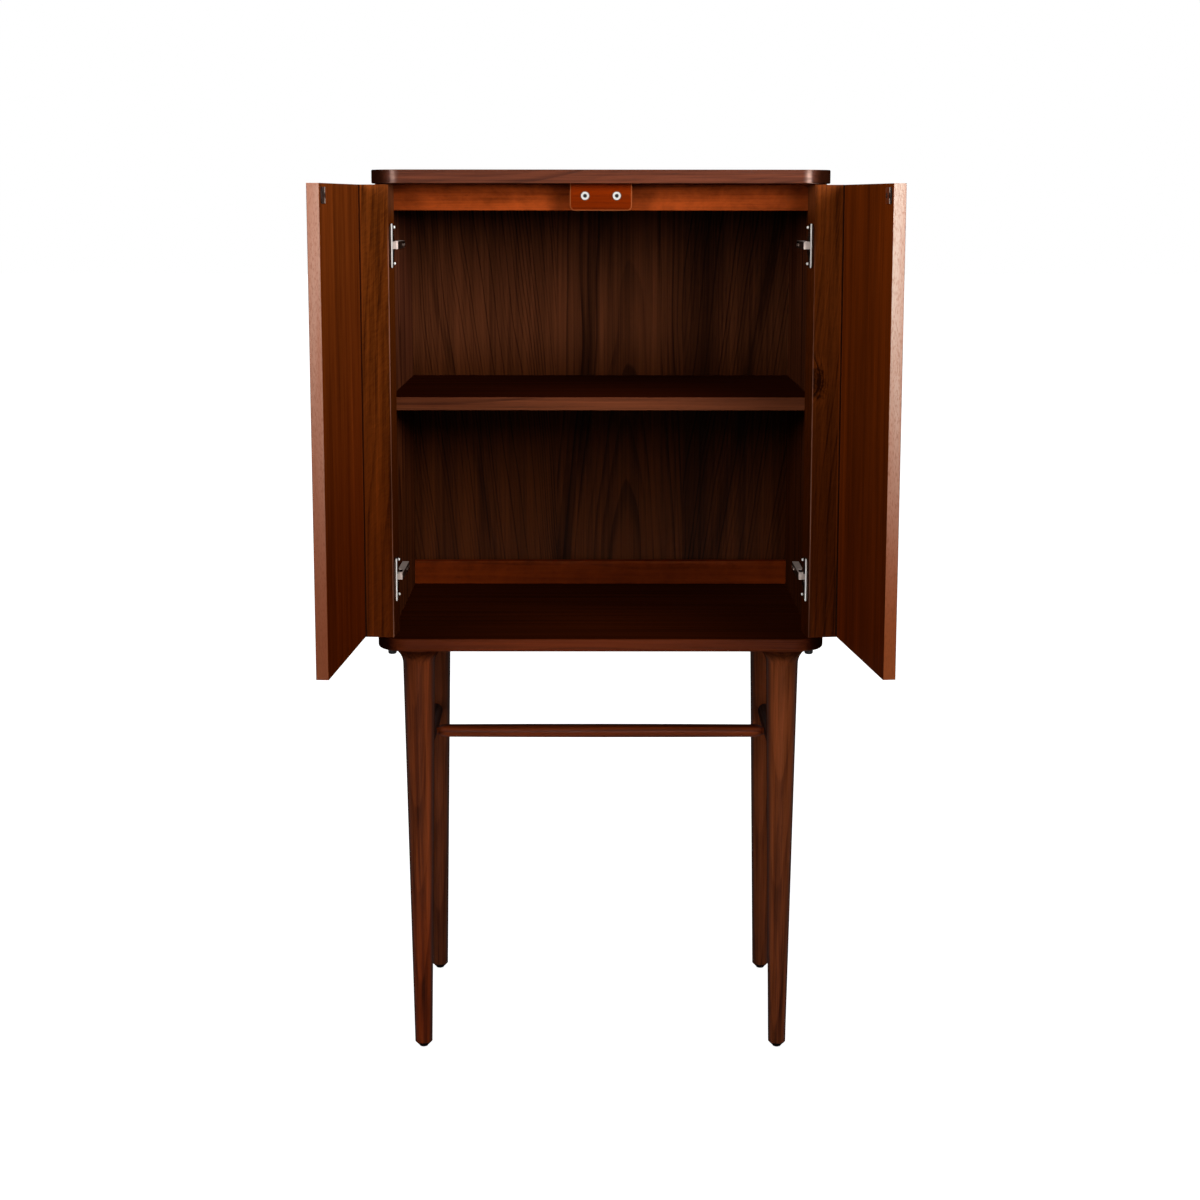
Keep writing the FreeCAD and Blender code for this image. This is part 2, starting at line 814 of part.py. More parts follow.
# Catch block and the two round magnetic catches in its front
def catch_block():
    body = new_body("catch_block")
    sketch = new_sketch(body, "XZ_Plane")
    half = s.catch_block_width / 2
    low = -s.rail_height
    points = [
        (-half, ZERO),
        (-half, low + s.catch_block_corner),
        (-half + s.catch_block_corner, low),
        (half - s.catch_block_corner, low),
        (half, low + s.catch_block_corner),
        (half, ZERO),
    ]
    corner = (s.catch_block_corner, -1)
    draw_outline(sketch, points, {1: corner, 3: corner})
    pad(body, sketch, side_front - block_front, backwards=True)

    def front_edge_below(edge):
        box = edge.BoundBox
        return box.YMax < NEAR and box.ZMin < -NEAR

    dress(body, "Chamfer", s.catch_block_chamfer, front_edge_below)
    for radius, depth in ((s.catch_diameter / 2, s.catch_in_block),
                          (s.screw_diameter / 2, s.catch_in_block + s.screw_length)):
        sketch = new_sketch(body, "XZ_Plane")
        for side in (LEFT, RIGHT):
            draw_circle(sketch, s.catch_spacing / 2 * side, -s.catch_drop, radius + s.fit)
        pocket(body, sketch, depth + s.fit)
    place(body, ZERO, block_front, ceiling)
    return keep(body)


def catches():
    """Steel cups with a ring magnet a little below the rim and a sunk screw in the middle."""
    outer = s.catch_diameter / 2
    inner = outer - s.catch_rim
    seat = s.catch_out - s.catch_recess
    shank = s.screw_diameter / 2 + s.fit
    head = s.screw_head_diameter / 2 + s.fit
    sunk = seat - s.screw_head_height
    points = [(shank, -s.catch_in_block), (outer, -s.catch_in_block), (outer, s.catch_out),
              (inner, s.catch_out), (inner, seat), (head, seat), (shank, sunk)]
    for name, side in SIDES.items():
        body = turned_master(f"{name}_magnetic_catch", points)
        body.Placement = FreeCAD.Placement(vector(0, 0), FACING_FRONT)
        place(body, s.catch_spacing / 2 * side, block_front, catch_rise)
        keep(body)
    master = sunk_screw("catch_screw_master", s.catch_in_block + s.screw_length,
                        s.screw_head_height)
    spots = [(s.catch_spacing / 2 * side, block_front - seat, catch_rise, FACING_FRONT)
             for side in (LEFT, RIGHT)]
    group = copies("catch_screws", master, spots)
    place(group, ZERO, ZERO, ZERO)
    return keep(group)


# Doors
def door_x(side, distance):
    """A distance from the pin towards the cabinet's middle, as the door's own X."""
    return distance * -side


def door_points(side, points):
    return [(door_x(side, x), y) for x, y in points]


tongue_middle = front_face + s.door_thickness / 2
post_inner = s.post_width - s.pin_side


def door_post(name, side):
    """The solid corner post, with a groove for the panel and two bores for the hinge cups."""
    body = new_body(f"{name}_door_post")
    sketch = new_sketch(body)
    half_tongue = s.tongue_thickness / 2 + s.fit
    groove = post_inner - s.tongue_length - s.fit
    points = [
        (-s.pin_side, front_face),
        (post_inner, front_face),
        (post_inner, tongue_middle - half_tongue),
        (groove, tongue_middle - half_tongue),
        (groove, tongue_middle + half_tongue),
        (post_inner, tongue_middle + half_tongue),
        (post_inner, s.pin_depth),
        (-s.pin_side, s.pin_depth),
    ]
    draw_outline(sketch, door_points(side, points))
    pad(body, sketch, door_height)
    outer_x = door_x(side, -s.pin_side)
    outer_radius = s.corner_radius - s.reveal
    dress(body, "Fillet", outer_radius, upright_at(x=outer_x, y=front_face))
    dress(body, "Fillet", s.post_back_radius, upright_at(x=outer_x, y=s.pin_depth))
    sketch = new_sketch(body, "XZ_Plane", -s.pin_depth)
    for rise in hinge_rises.values():
        draw_circle(sketch, door_x(side, cup_across), rise, s.cup_diameter / 2 + s.fit)
    pocket(body, sketch, s.cup_depth + s.fit, backwards=True)
    sketch = new_sketch(body, "XZ_Plane", -s.pin_depth)
    for x, rise in cup_screw_places(side):
        draw_circle(sketch, x, rise, s.screw_diameter / 2 + s.fit)
    pocket(body, sketch, s.screw_length, backwards=True)
    place_on_door(body, side, door_bottom)
    return keep(body)


def cup_screw_places(side):
    across = door_x(side, cup_across + s.cup_screw_offset)
    return [(across, rise + s.cup_screw_spread / 2 * end)
            for rise in hinge_rises.values() for end in (LEFT, RIGHT)]


def door_panel(name, side):
    """The flat board with a tongue along its hinge edge."""
    body = new_body(f"{name}_door_panel")
    sketch = new_sketch(body)
    half_tongue = s.tongue_thickness / 2
    tongue = post_inner - s.tongue_length
    points = [
        (post_inner, front_face),
        (free_edge, front_face),
        (free_edge, inner_face),
        (post_inner, inner_face),
        (post_inner, tongue_middle + half_tongue),
        (tongue, tongue_middle + half_tongue),
        (tongue, tongue_middle - half_tongue),
        (post_inner, tongue_middle - half_tongue),
    ]
    draw_outline(sketch, door_points(side, points))
    pad(body, sketch, door_height)
    dress(body, "Fillet", s.shelf_easing, upright_at(x=door_x(side, free_edge)))
    sketch = new_sketch(body, "XZ_Plane", -inner_face)
    for x, rise in strike_screw_places(side):
        draw_circle(sketch, x, rise, s.screw_diameter / 2 + s.fit)
    pocket(body, sketch, s.strike_screw_length, backwards=True)
    place_on_door(body, side, door_bottom)
    return keep(body)


strike_across = pin_across - s.catch_spacing / 2
strike_rise = catch_rise - door_bottom


def strike_screw_places(side):
    across = door_x(side, strike_across)
    return [(across + s.strike_screw_spread / 2 * end, strike_rise) for end in (LEFT, RIGHT)]


def strike_plate(name, side):
    """A thin steel plate on the door's inner face that the catch pulls, with two sunk holes."""
    body = new_body(f"{name}_strike_plate")
    sketch = new_sketch(body, "XZ_Plane", -inner_face)
    middle = door_x(side, strike_across)
    half = s.strike_width / 2
    low = strike_rise - s.strike_height / 2
    high = strike_rise + s.strike_height / 2
    draw_outline(sketch, rectangle(middle - half, low, middle + half, high))
    pad(body, sketch, s.strike_thickness, backwards=True)
    dress(body, "Fillet", s.strike_corner, along_y)
    drill_plate(body, strike_screw_places(side), inner_face + s.strike_thickness, s.strike_thickness)
    place_on_door(body, side, door_bottom)
    return keep(body)


def along_y(edge):
    """Picks edges that run along Y."""
    box = edge.BoundBox
    return box.XLength + box.ZLength < box.YLength * LOOSE_SHARE


def drill_plate(body, spots, face, thickness):
    """Holes through a metal plate from its back face, wide enough for sunk heads."""
    sketch = new_sketch(body, "XZ_Plane", -face)
    for x, rise in spots:
        draw_circle(sketch, x, rise, s.screw_head_diameter / 2 + s.fit)
    pocket(body, sketch, thickness + s.overrun, backwards=True)


# Cup hinges: a round steel cup in the post, a pin across it, and a hooked arm that rides on the pin
def hinge_cup(name, level, side):
    """The cup with its ribbed flange, drawn closed, with a slot at the bottom for the arm's hook."""
    rise = hinge_rises[level]
    body = new_body(f"{name}_{level}_hinge_cup")
    middle = door_x(side, cup_across)
    sketch = new_sketch(body, "XZ_Plane", -(s.pin_depth - s.cup_depth))
    draw_circle(sketch, middle, rise, s.cup_diameter / 2)
    pad(body, sketch, s.cup_depth + s.flange_thickness, backwards=True)
    sketch = new_sketch(body, "XZ_Plane", -s.pin_depth)
    wing = middle + door_x(side, s.flange_offset)
    half_wide = s.flange_width / 2
    half_high = s.flange_height / 2
    draw_outline(sketch, rectangle(wing - half_wide, rise - half_high,
                                   wing + half_wide, rise + half_high))
    pad(body, sketch, s.flange_thickness, backwards=True)

    def wing_corner(edge):
        box = edge.BoundBox
        tip = abs(abs(box.Center.z - rise.value) - half_high.value) < NEAR
        return along_y(edge) and tip

    dress(body, "Fillet", s.flange_corner, wing_corner)
    face = s.pin_depth + s.flange_thickness
    sketch = new_sketch(body, "XZ_Plane", -face)
    draw_circle(sketch, middle, rise, s.cup_diameter / 2 - s.cup_wall)
    pocket(body, sketch, s.cup_shallow_depth + s.flange_thickness, backwards=True)
    sketch = new_sketch(body, "XZ_Plane", -face)
    half_slot = s.arm_width / 2 + s.slot_clearance
    ends = sorted((door_x(side, -s.slot_left), door_x(side, s.slot_right)), key=lambda x: x.value)
    draw_outline(sketch, rectangle(ends[0], rise - half_slot, ends[1], rise + half_slot))
    slot_floor = s.pin_depth + s.eye_radius + s.slot_clearance
    pocket(body, sketch, slot_floor + s.flange_thickness, backwards=True)
    spots = [(x, z) for x, z in cup_screw_places(side) if abs(z.value - rise.value) < half_high.value]
    drill_plate(body, spots, face, s.flange_thickness)
    sketch = new_sketch(body, "XZ_Plane", -s.pin_depth)
    rib_near = middle + door_x(side, s.rib_offset)
    rib_far = middle + door_x(side, s.rib_offset - s.rib_width)
    for low, high in ((-half_high, -half_slot), (half_slot, half_high)):
        draw_outline(sketch, rectangle(rib_far, rise + low, rib_near, rise + high))
    pad(body, sketch, s.flange_thickness + s.rib_height, backwards=True)
    sketch = new_sketch(body, offset=rise)
    draw_circle(sketch, ZERO, ZERO, s.pin_diameter / 2 + s.pin_fit)
    pocket(body, sketch, s.cup_diameter + s.overrun, symmetric=True)
    place_on_door(body, side, door_bottom)
    return keep(body)


def hinge_pins(name, side):
    """The two pins of a door, one line for both hinges."""
    master = turned_master(f"{name}_pin_master", [(ZERO, ZERO), (s.pin_diameter / 2, ZERO),
                                                  (s.pin_diameter / 2, s.pin_length),
                                                  (ZERO, s.pin_length)])
    spots = [(ZERO, ZERO, rise - s.pin_length / 2, UPRIGHT) for rise in hinge_rises.values()]
    group = copies(f"{name}_hinge_pins", master, spots)
    place_on_door(group, side, door_bottom)
    return keep(group)


def door_screws(name, side):
    """Sunk screws through the hinge flanges and through the strike plate."""
    master = sunk_screw(f"{name}_cup_screw_master", s.screw_length, s.flange_thickness)
    face = s.pin_depth + s.flange_thickness
    spots = [(x, face, rise, FACING_BACK) for x, rise in cup_screw_places(side)]
    group = copies(f"{name}_cup_screws", master, spots)
    place_on_door(group, side, door_bottom)
    keep(group)
    master = sunk_screw(f"{name}_strike_screw_master", s.strike_screw_length, s.strike_thickness)
    face = inner_face + s.strike_thickness
    spots = [(x, face, rise, FACING_BACK) for x, rise in strike_screw_places(side)]
    group = copies(f"{name}_strike_screws", master, spots)
    place_on_door(group, side, door_bottom)
    keep(group)


def hinge_arm(name, level, side):
    """The fixed arm: an eye on the pin, a hook round the cup's rim, and a channel over the plate."""
    body = new_body(f"{name}_{level}_hinge_arm")
    outer = s.arm_reach + s.arm_thickness
    sketch = new_sketch(body)
    draw_circle(sketch, ZERO, ZERO, s.eye_radius)
    pad(body, sketch, s.arm_width, symmetric=True)
    sketch = new_sketch(body)
    points = [
        (ZERO, -s.eye_radius),
        (outer, -s.eye_radius),
        (outer, s.arm_end),
        (s.arm_reach, s.arm_end),
        (s.arm_reach, s.arm_bar_top),
        (ZERO, s.arm_bar_top),
    ]
    draw_outline(sketch, door_points(side, points))
    pad(body, sketch, s.arm_width, symmetric=True)
    outer_x = door_x(side, outer)
    inner_x = door_x(side, s.arm_reach)
    dress(body, "Fillet", s.arm_bend + s.arm_thickness, upright_at(x=outer_x, y=-s.eye_radius))
    dress(body, "Fillet", s.arm_bend, upright_at(x=inner_x, y=s.arm_bar_top))
    sketch = new_sketch(body, "YZ_Plane", inner_x)
    half = s.arm_width / 2
    web = half - s.arm_wing_thickness
    for low, high in ((-half, -web), (web, half)):
        draw_outline(sketch, rectangle(s.arm_front_wing, low, s.arm_end, high))
    pad(body, sketch, s.arm_wing_depth, backwards=side == LEFT)
    sketch = new_sketch(body)
    draw_circle(sketch, ZERO, ZERO, s.pin_diameter / 2 + s.pin_fit)
    pocket(body, sketch, s.arm_width + s.overrun, symmetric=True)
    sketch = new_sketch(body, "YZ_Plane", inner_x)
    for back in (s.arm_screw_front, s.arm_screw_back):
        draw_circle(sketch, back, ZERO, s.arm_screw_diameter / 2 + s.fit)
    pocket(body, sketch, s.arm_thickness + s.overrun, backwards=side == LEFT)
    place(body, pin_across * side, pin_back, door_bottom + hinge_rises[level])
    return keep(body)


def mounting_plate(name, level, side):
    """The plate screwed to the side panel, with wings for its screws and a ridge under the arm."""
    body = new_body(f"{name}_{level}_mounting_plate")
    wall = side_inner - pin_across
    sketch = new_sketch(body, "YZ_Plane", door_x(side, -wall))
    half = s.plate_width / 2
    high = s.plate_wing_height / 2
    points = [
        (s.plate_front, -half),
        (s.plate_wing_front, -half),
        (s.plate_wing_front, -high),
        (s.plate_wing_end, -high),
        (s.plate_wing_end, -half),
        (s.plate_end, -half),
        (s.plate_end, half),
        (s.plate_wing_end, half),
        (s.plate_wing_end, high),
        (s.plate_wing_front, high),
        (s.plate_wing_front, half),
        (s.plate_front, half),
    ]
    draw_outline(sketch, points)
    pad(body, sketch, s.plate_thickness, backwards=side == RIGHT)

    def wing_corner(edge):
        box = edge.BoundBox
        flat = box.YLength + box.ZLength < box.XLength * LOOSE_SHARE
        return flat and abs(abs(box.Center.z) - high.value) < NEAR

    dress(body, "Fillet", s.plate_corner, wing_corner)
    sketch = new_sketch(body, "YZ_Plane", door_x(side, -wall))
    ridge = s.arm_width / 2 - s.arm_wing_thickness - s.ridge_clearance
    draw_outline(sketch, rectangle(s.plate_front, -ridge, s.plate_end, ridge))
    pad(body, sketch, s.arm_reach + wall, backwards=side == RIGHT)
    sketch = new_sketch(body, "YZ_Plane", door_x(side, s.plate_thickness - wall))
    middle = (s.plate_wing_front + s.plate_wing_end) / 2
    for end in (LEFT, RIGHT):
        draw_circle(sketch, middle, s.plate_screw_spread / 2 * end, s.screw_head_diameter / 2 + s.fit)
    pocket(body, sketch, s.plate_thickness + s.overrun, backwards=side == RIGHT)
    sketch = new_sketch(body, "YZ_Plane", door_x(side, s.arm_reach))
    for back in (s.arm_screw_front, s.arm_screw_back):
        draw_circle(sketch, back, ZERO, s.arm_screw_diameter / 2 + s.fit)
    pocket(body, sketch, s.arm_screw_length, backwards=side == RIGHT)
    place(body, pin_across * side, pin_back, door_bottom + hinge_rises[level])
    return keep(body)


def arm_screws(name, side):
    """The two flat-headed screws that clamp and set each arm on its plate."""
    head = s.arm_screw_head_diameter / 2
    shank = s.arm_screw_diameter / 2
    points = [(ZERO, s.arm_screw_head_height), (head, s.arm_screw_head_height), (head, ZERO),
              (shank, ZERO), (shank, -s.arm_screw_length), (ZERO, -s.arm_screw_length)]
    master = turned_master(f"{name}_arm_screw_master", points)
    turn = FACING_RIGHT if side == LEFT else FACING_LEFT
    outer = door_x(side, s.arm_reach + s.arm_thickness)
    spots = [(outer, back, rise, turn) for rise in hinge_rises.values()
             for back in (s.arm_screw_front, s.arm_screw_back)]
    group = copies(f"{name}_arm_screws", master, spots)
    place(group, pin_across * side, pin_back, door_bottom)
    return keep(group)


def plate_screws(name, side):
    """Sunk screws through the mounting plates' wings into the side panel."""
    master = sunk_screw(f"{name}_plate_screw_master", s.screw_length, s.screw_head_height)
    turn = FACING_RIGHT if side == LEFT else FACING_LEFT
    face = (side_inner - s.plate_thickness) * side
    spots = [(face, plate_screw_back, rise + s.plate_screw_spread / 2 * end, turn)
             for rise in hinge_rises.values() for end in (LEFT, RIGHT)]
    group = copies(f"{name}_plate_screws", master, spots)
    place(group, ZERO, ZERO, door_bottom)
    return keep(group)


def door(name, side):
    door_post(name, side)
    door_panel(name, side)
    strike_plate(name, side)
    hinge_pins(name, side)
    door_screws(name, side)
    for level in hinge_rises:
        hinge_cup(name, level, side)
        hinge_arm(name, level, side)
        mounting_plate(name, level, side)
    arm_screws(name, side)
    plate_screws(name, side)


def build():
    top_panel()
    bottom_panel()
    for name, side in SIDES.items():
        side_panel(name, side)
    back_panel()
    shelf()
    rails()
    shelf_pins()
    panel_dowels()
    side_bolts()
    corner_studs()
    legs()
    leg_glides()
    leg_hanger_bolts()
    stretchers()
    catch_block()
    catches()
    for name, side in SIDES.items():
        door(name, side)


def check(solids_expected):
    """Stops before anything is written where an object failed or a piece is broken."""
    for item in doc.Objects:
        if "Invalid" in item.State or "Error" in item.State:
            raise RuntimeError(f"{item.Name} failed: {item.State}")
    for label, piece in pieces.items():
        shape = piece.Shape
        if shape.isNull() or not shape.isValid() or len(shape.Solids) != solids_expected.get(label, 1):
            raise RuntimeError(f"{label} is not sound: {len(shape.Solids)} solids")


GROUP_COUNTS = {
    "shelf_pins": 4,
    "panel_dowels": 4,
    "side_bolts": 4,
    "corner_studs": 2,
    "leg_glides": 4,
    "leg_hanger_bolts": 4,
    "catch_screws": 2,
}
for name in SIDES:
    GROUP_COUNTS[f"{name}_hinge_pins"] = 2
    GROUP_COUNTS[f"{name}_cup_screws"] = 4
    GROUP_COUNTS[f"{name}_strike_screws"] = 2
    GROUP_COUNTS[f"{name}_arm_screws"] = 4
    GROUP_COUNTS[f"{name}_plate_screws"] = 4

build()
doc.recompute()
check(GROUP_COUNTS)
os.makedirs("parts", exist_ok=True)
for label, piece in pieces.items():
    piece.Shape.exportStep(f"parts/{label}.step")
print(f"{len(pieces)} pieces written")
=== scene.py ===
import json
import math

import bmesh
import bpy
from mathutils import Matrix, Vector


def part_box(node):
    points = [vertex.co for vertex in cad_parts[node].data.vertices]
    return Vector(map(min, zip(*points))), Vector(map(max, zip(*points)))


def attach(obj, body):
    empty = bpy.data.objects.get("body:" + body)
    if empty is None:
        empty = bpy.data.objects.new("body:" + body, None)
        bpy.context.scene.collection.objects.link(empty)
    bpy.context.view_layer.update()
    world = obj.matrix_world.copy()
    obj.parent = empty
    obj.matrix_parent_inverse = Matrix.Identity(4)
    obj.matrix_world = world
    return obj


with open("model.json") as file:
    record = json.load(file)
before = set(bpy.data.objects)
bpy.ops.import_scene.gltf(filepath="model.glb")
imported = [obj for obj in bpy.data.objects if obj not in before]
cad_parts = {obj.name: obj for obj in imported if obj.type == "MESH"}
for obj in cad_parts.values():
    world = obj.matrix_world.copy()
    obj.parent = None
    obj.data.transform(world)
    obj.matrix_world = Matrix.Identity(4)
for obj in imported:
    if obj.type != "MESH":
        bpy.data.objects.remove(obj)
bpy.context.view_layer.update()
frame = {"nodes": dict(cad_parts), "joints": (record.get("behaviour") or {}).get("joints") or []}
nodes = frame["nodes"]

MM = 0.001
SIDES = {"left": -1, "right": 1}
LEVELS = ("upper", "lower")
WHITE = (1, 1, 1, 1)


def linear(red, green, blue):
    """A colour given as it shows on a screen, 0 to 255, as the shader's own numbers."""
    channels = []
    for value in (red, green, blue):
        share = value / 255
        channels.append(share / 12.92 if share <= 0.04045 else ((share + 0.055) / 1.055) ** 2.4)
    return (*channels, 1.0)


def scaled(colour, factor):
    """A colour made darker or paler."""
    return (*(min(1.0, c * factor) for c in colour[:3]), 1.0)


class Graph:
    """The nodes of a material or a world, added one by one."""

    def __init__(self, holder, output):
        self.holder = holder
        holder.use_nodes = True
        self.tree = holder.node_tree
        self.tree.nodes.clear()
        self.output = self.add(output)

    def add(self, kind, inputs=None, **settings):
        node = self.tree.nodes.new(kind)
        for name, value in settings.items():
            setattr(node, name, value)
        for key, value in (inputs or {}).items():
            self.feed(node.inputs[key], value)
        return node

    def feed(self, socket, value):
        if isinstance(value, bpy.types.NodeSocket):
            self.tree.links.new(value, socket)
        else:
            socket.default_value = value

    def math(self, operation, first, second=0.0):
        return self.add("ShaderNodeMath", {0: first, 1: second}, operation=operation).outputs[0]

    def plus(self, first, second):
        return self.math("ADD", first, second)

    def minus(self, first, second):
        return self.math("SUBTRACT", first, second)

    def times(self, first, second):
        return self.math("MULTIPLY", first, second)

    def size(self, value):
        return self.math("ABSOLUTE", value)

    def total(self, *terms):
        """The sum of values, each given with its weight."""
        result = None
        for value, weight in terms:
            term = self.times(value, weight)
            result = term if result is None else self.plus(result, term)
        return result

    def ramp(self, value, low, high, to_low=0.0, to_high=1.0):
        """Value eased from one range to another."""
        inputs = {"Value": value, "From Min": low, "From Max": high, "To Min": to_low,
                  "To Max": to_high}
        return self.add("ShaderNodeMapRange", inputs, interpolation_type="SMOOTHSTEP").outputs[0]

    def spread(self, noise, to_low=0.0, to_high=1.0):
        """A noise's usual range eased to another."""
        return self.ramp(noise, -0.2, 0.2, to_low, to_high)

    def mix(self, share, first, second):
        node = self.add("ShaderNodeMix", data_type="RGBA")
        for index, value in ((0, share), (6, first), (7, second)):
            self.feed(node.inputs[index], value)
        return node.outputs[2]

    def with_vectors(self, operation, first, second):
        return self.add("ShaderNodeVectorMath", {0: first, 1: second}, operation=operation).outputs

    def vector(self, operation, first, second):
        return self.with_vectors(operation, first, second)[0]

    def measure(self, operation, first, second=(0, 0, 0)):
        """A number that vectors give: a length, a distance or a dot product."""
        return self.with_vectors(operation, first, second)[1]

    def split(self, vector):
        return self.add("ShaderNodeSeparateXYZ", {0: vector}).outputs

    def join(self, x, y, z):
        return self.add("ShaderNodeCombineXYZ", {0: x, 1: y, 2: z}).outputs[0]

    def noise(self, vector, scale, detail=2.0, rough=0.5):
        """Noise about zero; scale is how fine it is along each axis, or along all three."""
        stretch = scale if isinstance(scale, tuple) else (scale, scale, scale)
        inputs = {"Vector": self.vector("MULTIPLY", vector, stretch), "Scale": 1.0,
                  "Detail": detail, "Roughness": rough}
        return self.minus(self.add("ShaderNodeTexNoise", inputs).outputs[0], 0.5)

    def place(self):
        return self.add("ShaderNodeTexCoord").outputs["Object"]

    def bump(self, height, strength, distance):
        inputs = {"Height": height, "Strength": strength, "Distance": distance}
        return self.add("ShaderNodeBump", inputs).outputs[0]

    def seen(self):
        """1 where the camera, a reflection or glass looks, 0 where light travels."""
        path = self.add("ShaderNodeLightPath").outputs
        seen = self.math("MAXIMUM", path["Is Camera Ray"], path["Is Glossy Ray"])
        return self.math("MAXIMUM", seen, path["Is Transmission Ray"])

    def finish(self, shader):
        self.tree.links.new(shader.outputs[0], self.output.inputs["Surface"])
        return self.holder


class Material(Graph):
    """A material's nodes."""

    def __init__(self, name):
        super().__init__(bpy.data.materials.new(name), "ShaderNodeOutputMaterial")

    def coat(self, inputs):
        """The finished material, of one principled shader."""
        return self.finish(self.add("ShaderNodeBsdfPrincipled", inputs))


# Wood: how fine each noise is, across the grain in both directions and along it
SWAY = (6.0, 6.0, 1.6)
WOBBLE = (22.0, 22.0, 2.0)
FIBRE = (700.0, 700.0, 11.0)
STREAK = (170.0, 170.0, 2.6)
BAND = (34.0, 34.0, 1.5)
PORE = (1500.0, 1500.0, 75.0)
RIPPLE = (60.0, 60.0, 30.0)
TORN = (240.0, 240.0, 150.0)
FLECK = (800.0, 800.0, 170.0)

# The figure: for each grain the coordinates across it and along it; how far along the tree each
# leaf of veneer is cut; the rings' uneven widths, where late wood comes and ends in a year, the
# years' own strengths; then what is a pore, each part's weight, and how curls and veins waver
GRAIN_ORDER = {"X": (1, 2, 0), "Y": (0, 2, 1), "Z": (0, 1, 2)}
LEAF_SHIFTS = (0.0, 3.7, 8.3)
SWAY_APART = (5.0, 0.0, 0.0)
RINGS_WOBBLED = 1.3
LATE_COMES, LATE_ENDS = (0.4, 0.9), (1.0, 0.92)
YEAR_STRENGTHS = (0.1, 1.0, 0.15, 1.0)
PORE_THRESHOLD = (0.1, 0.22)
FIBRE_WEIGHT, STREAK_WEIGHT, BAND_WEIGHT, PORE_WEIGHT = 0.7, 1.2, 1.2, -0.16
CURL_SWAY, CURL_RIPPLE = 0.14, 0.02
VEIN_SWAY, VEIN_RAGGED = 0.05, 1.5

# A knot: its squeeze along each axis, its reach and the rings' swerve in shares of its size, and
# the strengths of its pale swirl, its rings and its torn heart
KNOT_SHAPE = (1.0, 1.0, 0.55)
KNOT_REACH, KNOT_SWERVE = 3.2, 1.6
KNOT_PALE, KNOT_RINGS, KNOT_TORN = 0.25, 1.1, 1.1
SWIRL_THRESHOLD, TORN_THRESHOLD = (0.1, 0.5), (0.45, 1.15)
TORN_STRETCH = 1.5

# The lacquer: weights of fibre, pore and band in its roughness, of fibre, pore and late wood in its
# relief, and the relief's strength and depth
ROUGH_WEIGHTS = (0.16, 0.12, 0.1)
RELIEF_WEIGHTS = (0.5, -1.0, -0.2)
RELIEF_STRENGTH, RELIEF_DEPTH = 0.3, 0.2 * MM
SHEEN_FADES = (0.3, 0.8)

# Stops of the stain, from the darkest figure to the palest: place and share of the middle tone.
# Then the shares of that tone on end grain, darker of itself and with painted shade, and where
# arrises are rubbed and carry a painted highlight, and other strengths
STAIN = ((0.1, 0.2), (0.33, 0.55), (0.52, 1.0), (0.7, 1.4), (0.95, 2.1))
END_AND_SHADE_SHARE = 0.12
RUB_AND_HIGHLIGHT_SHARE = 2.2
RUB_AND_HIGHLIGHT_STRENGTH = 0.45
FACE_SHADE_STRENGTH = 0.7
FLANK_SHADE_STRENGTH = 0.95
JOINT_SHADOW_STRENGTH = 0.95
TOP_STREAK_SHARE = 0.6
LIP_BAND = 0.12
FLECK_STRENGTH, FLECK_SHARE = 0.45, 0.6
LIP_STREAK_STRENGTH, LIP_STREAK_SHARE = 0.35, 0.9
JOINT_SHADOW = linear(24, 9, 4)
GLINT_PALE = linear(206, 168, 152)
ARRIS_HIGHLIGHT = linear(160, 112, 92)
FOOT_DARK = linear(10, 7, 6)

# Where one tone passes into the next: how squarely a face looks one way, heights, distances from a
# line, and levels of the streaks, these with the shares kept in and out of a streak
UPWARD = (0.6, 0.95)
ENDWAYS = (0.15, 0.65)
SIDEWAYS = (0.66, 0.97)
SLANTING = (0.96, 0.85)
FACE_SHADE_FACING = (0.6, 0.95)
LIP_FACING = (0.9, 0.97)
GLINT_WIDTH = (0.13, 0.02)
FACE_SHADE_TOP = (1.16, 1.19)
LIP_HEIGHTS = (0.61, 1.14)
ARRIS_TOP = (1.17, 1.11)
JOINT_PALE = (4.5 * MM, 3.0 * MM)
JOINT_LINE = (2.6 * MM, 1.2 * MM)
ARRIS_LINE = (1.6 * MM, 0.7 * MM)
TIP_EDGE = (1.15, 0.85)
FLECK_THRESHOLD = (-0.04, 0.16)
LIP_STREAKS = (-0.12, 0.16)
GLINT_STREAKS = (-0.15, 0.15, 0.5, 1.0)
JOINT_STREAKS = (-0.1, 0.15, 0.1, 0.5)
ARRIS_STREAKS = (-0.15, 0.15, 0.1, 0.5)

# Arrises: how far from them a face is rubbed and given a painted highlight, and how far it turns
# there
ARRIS_RADIUS = 1.1 * MM
ARRIS_TURN = (0.99, 0.9)


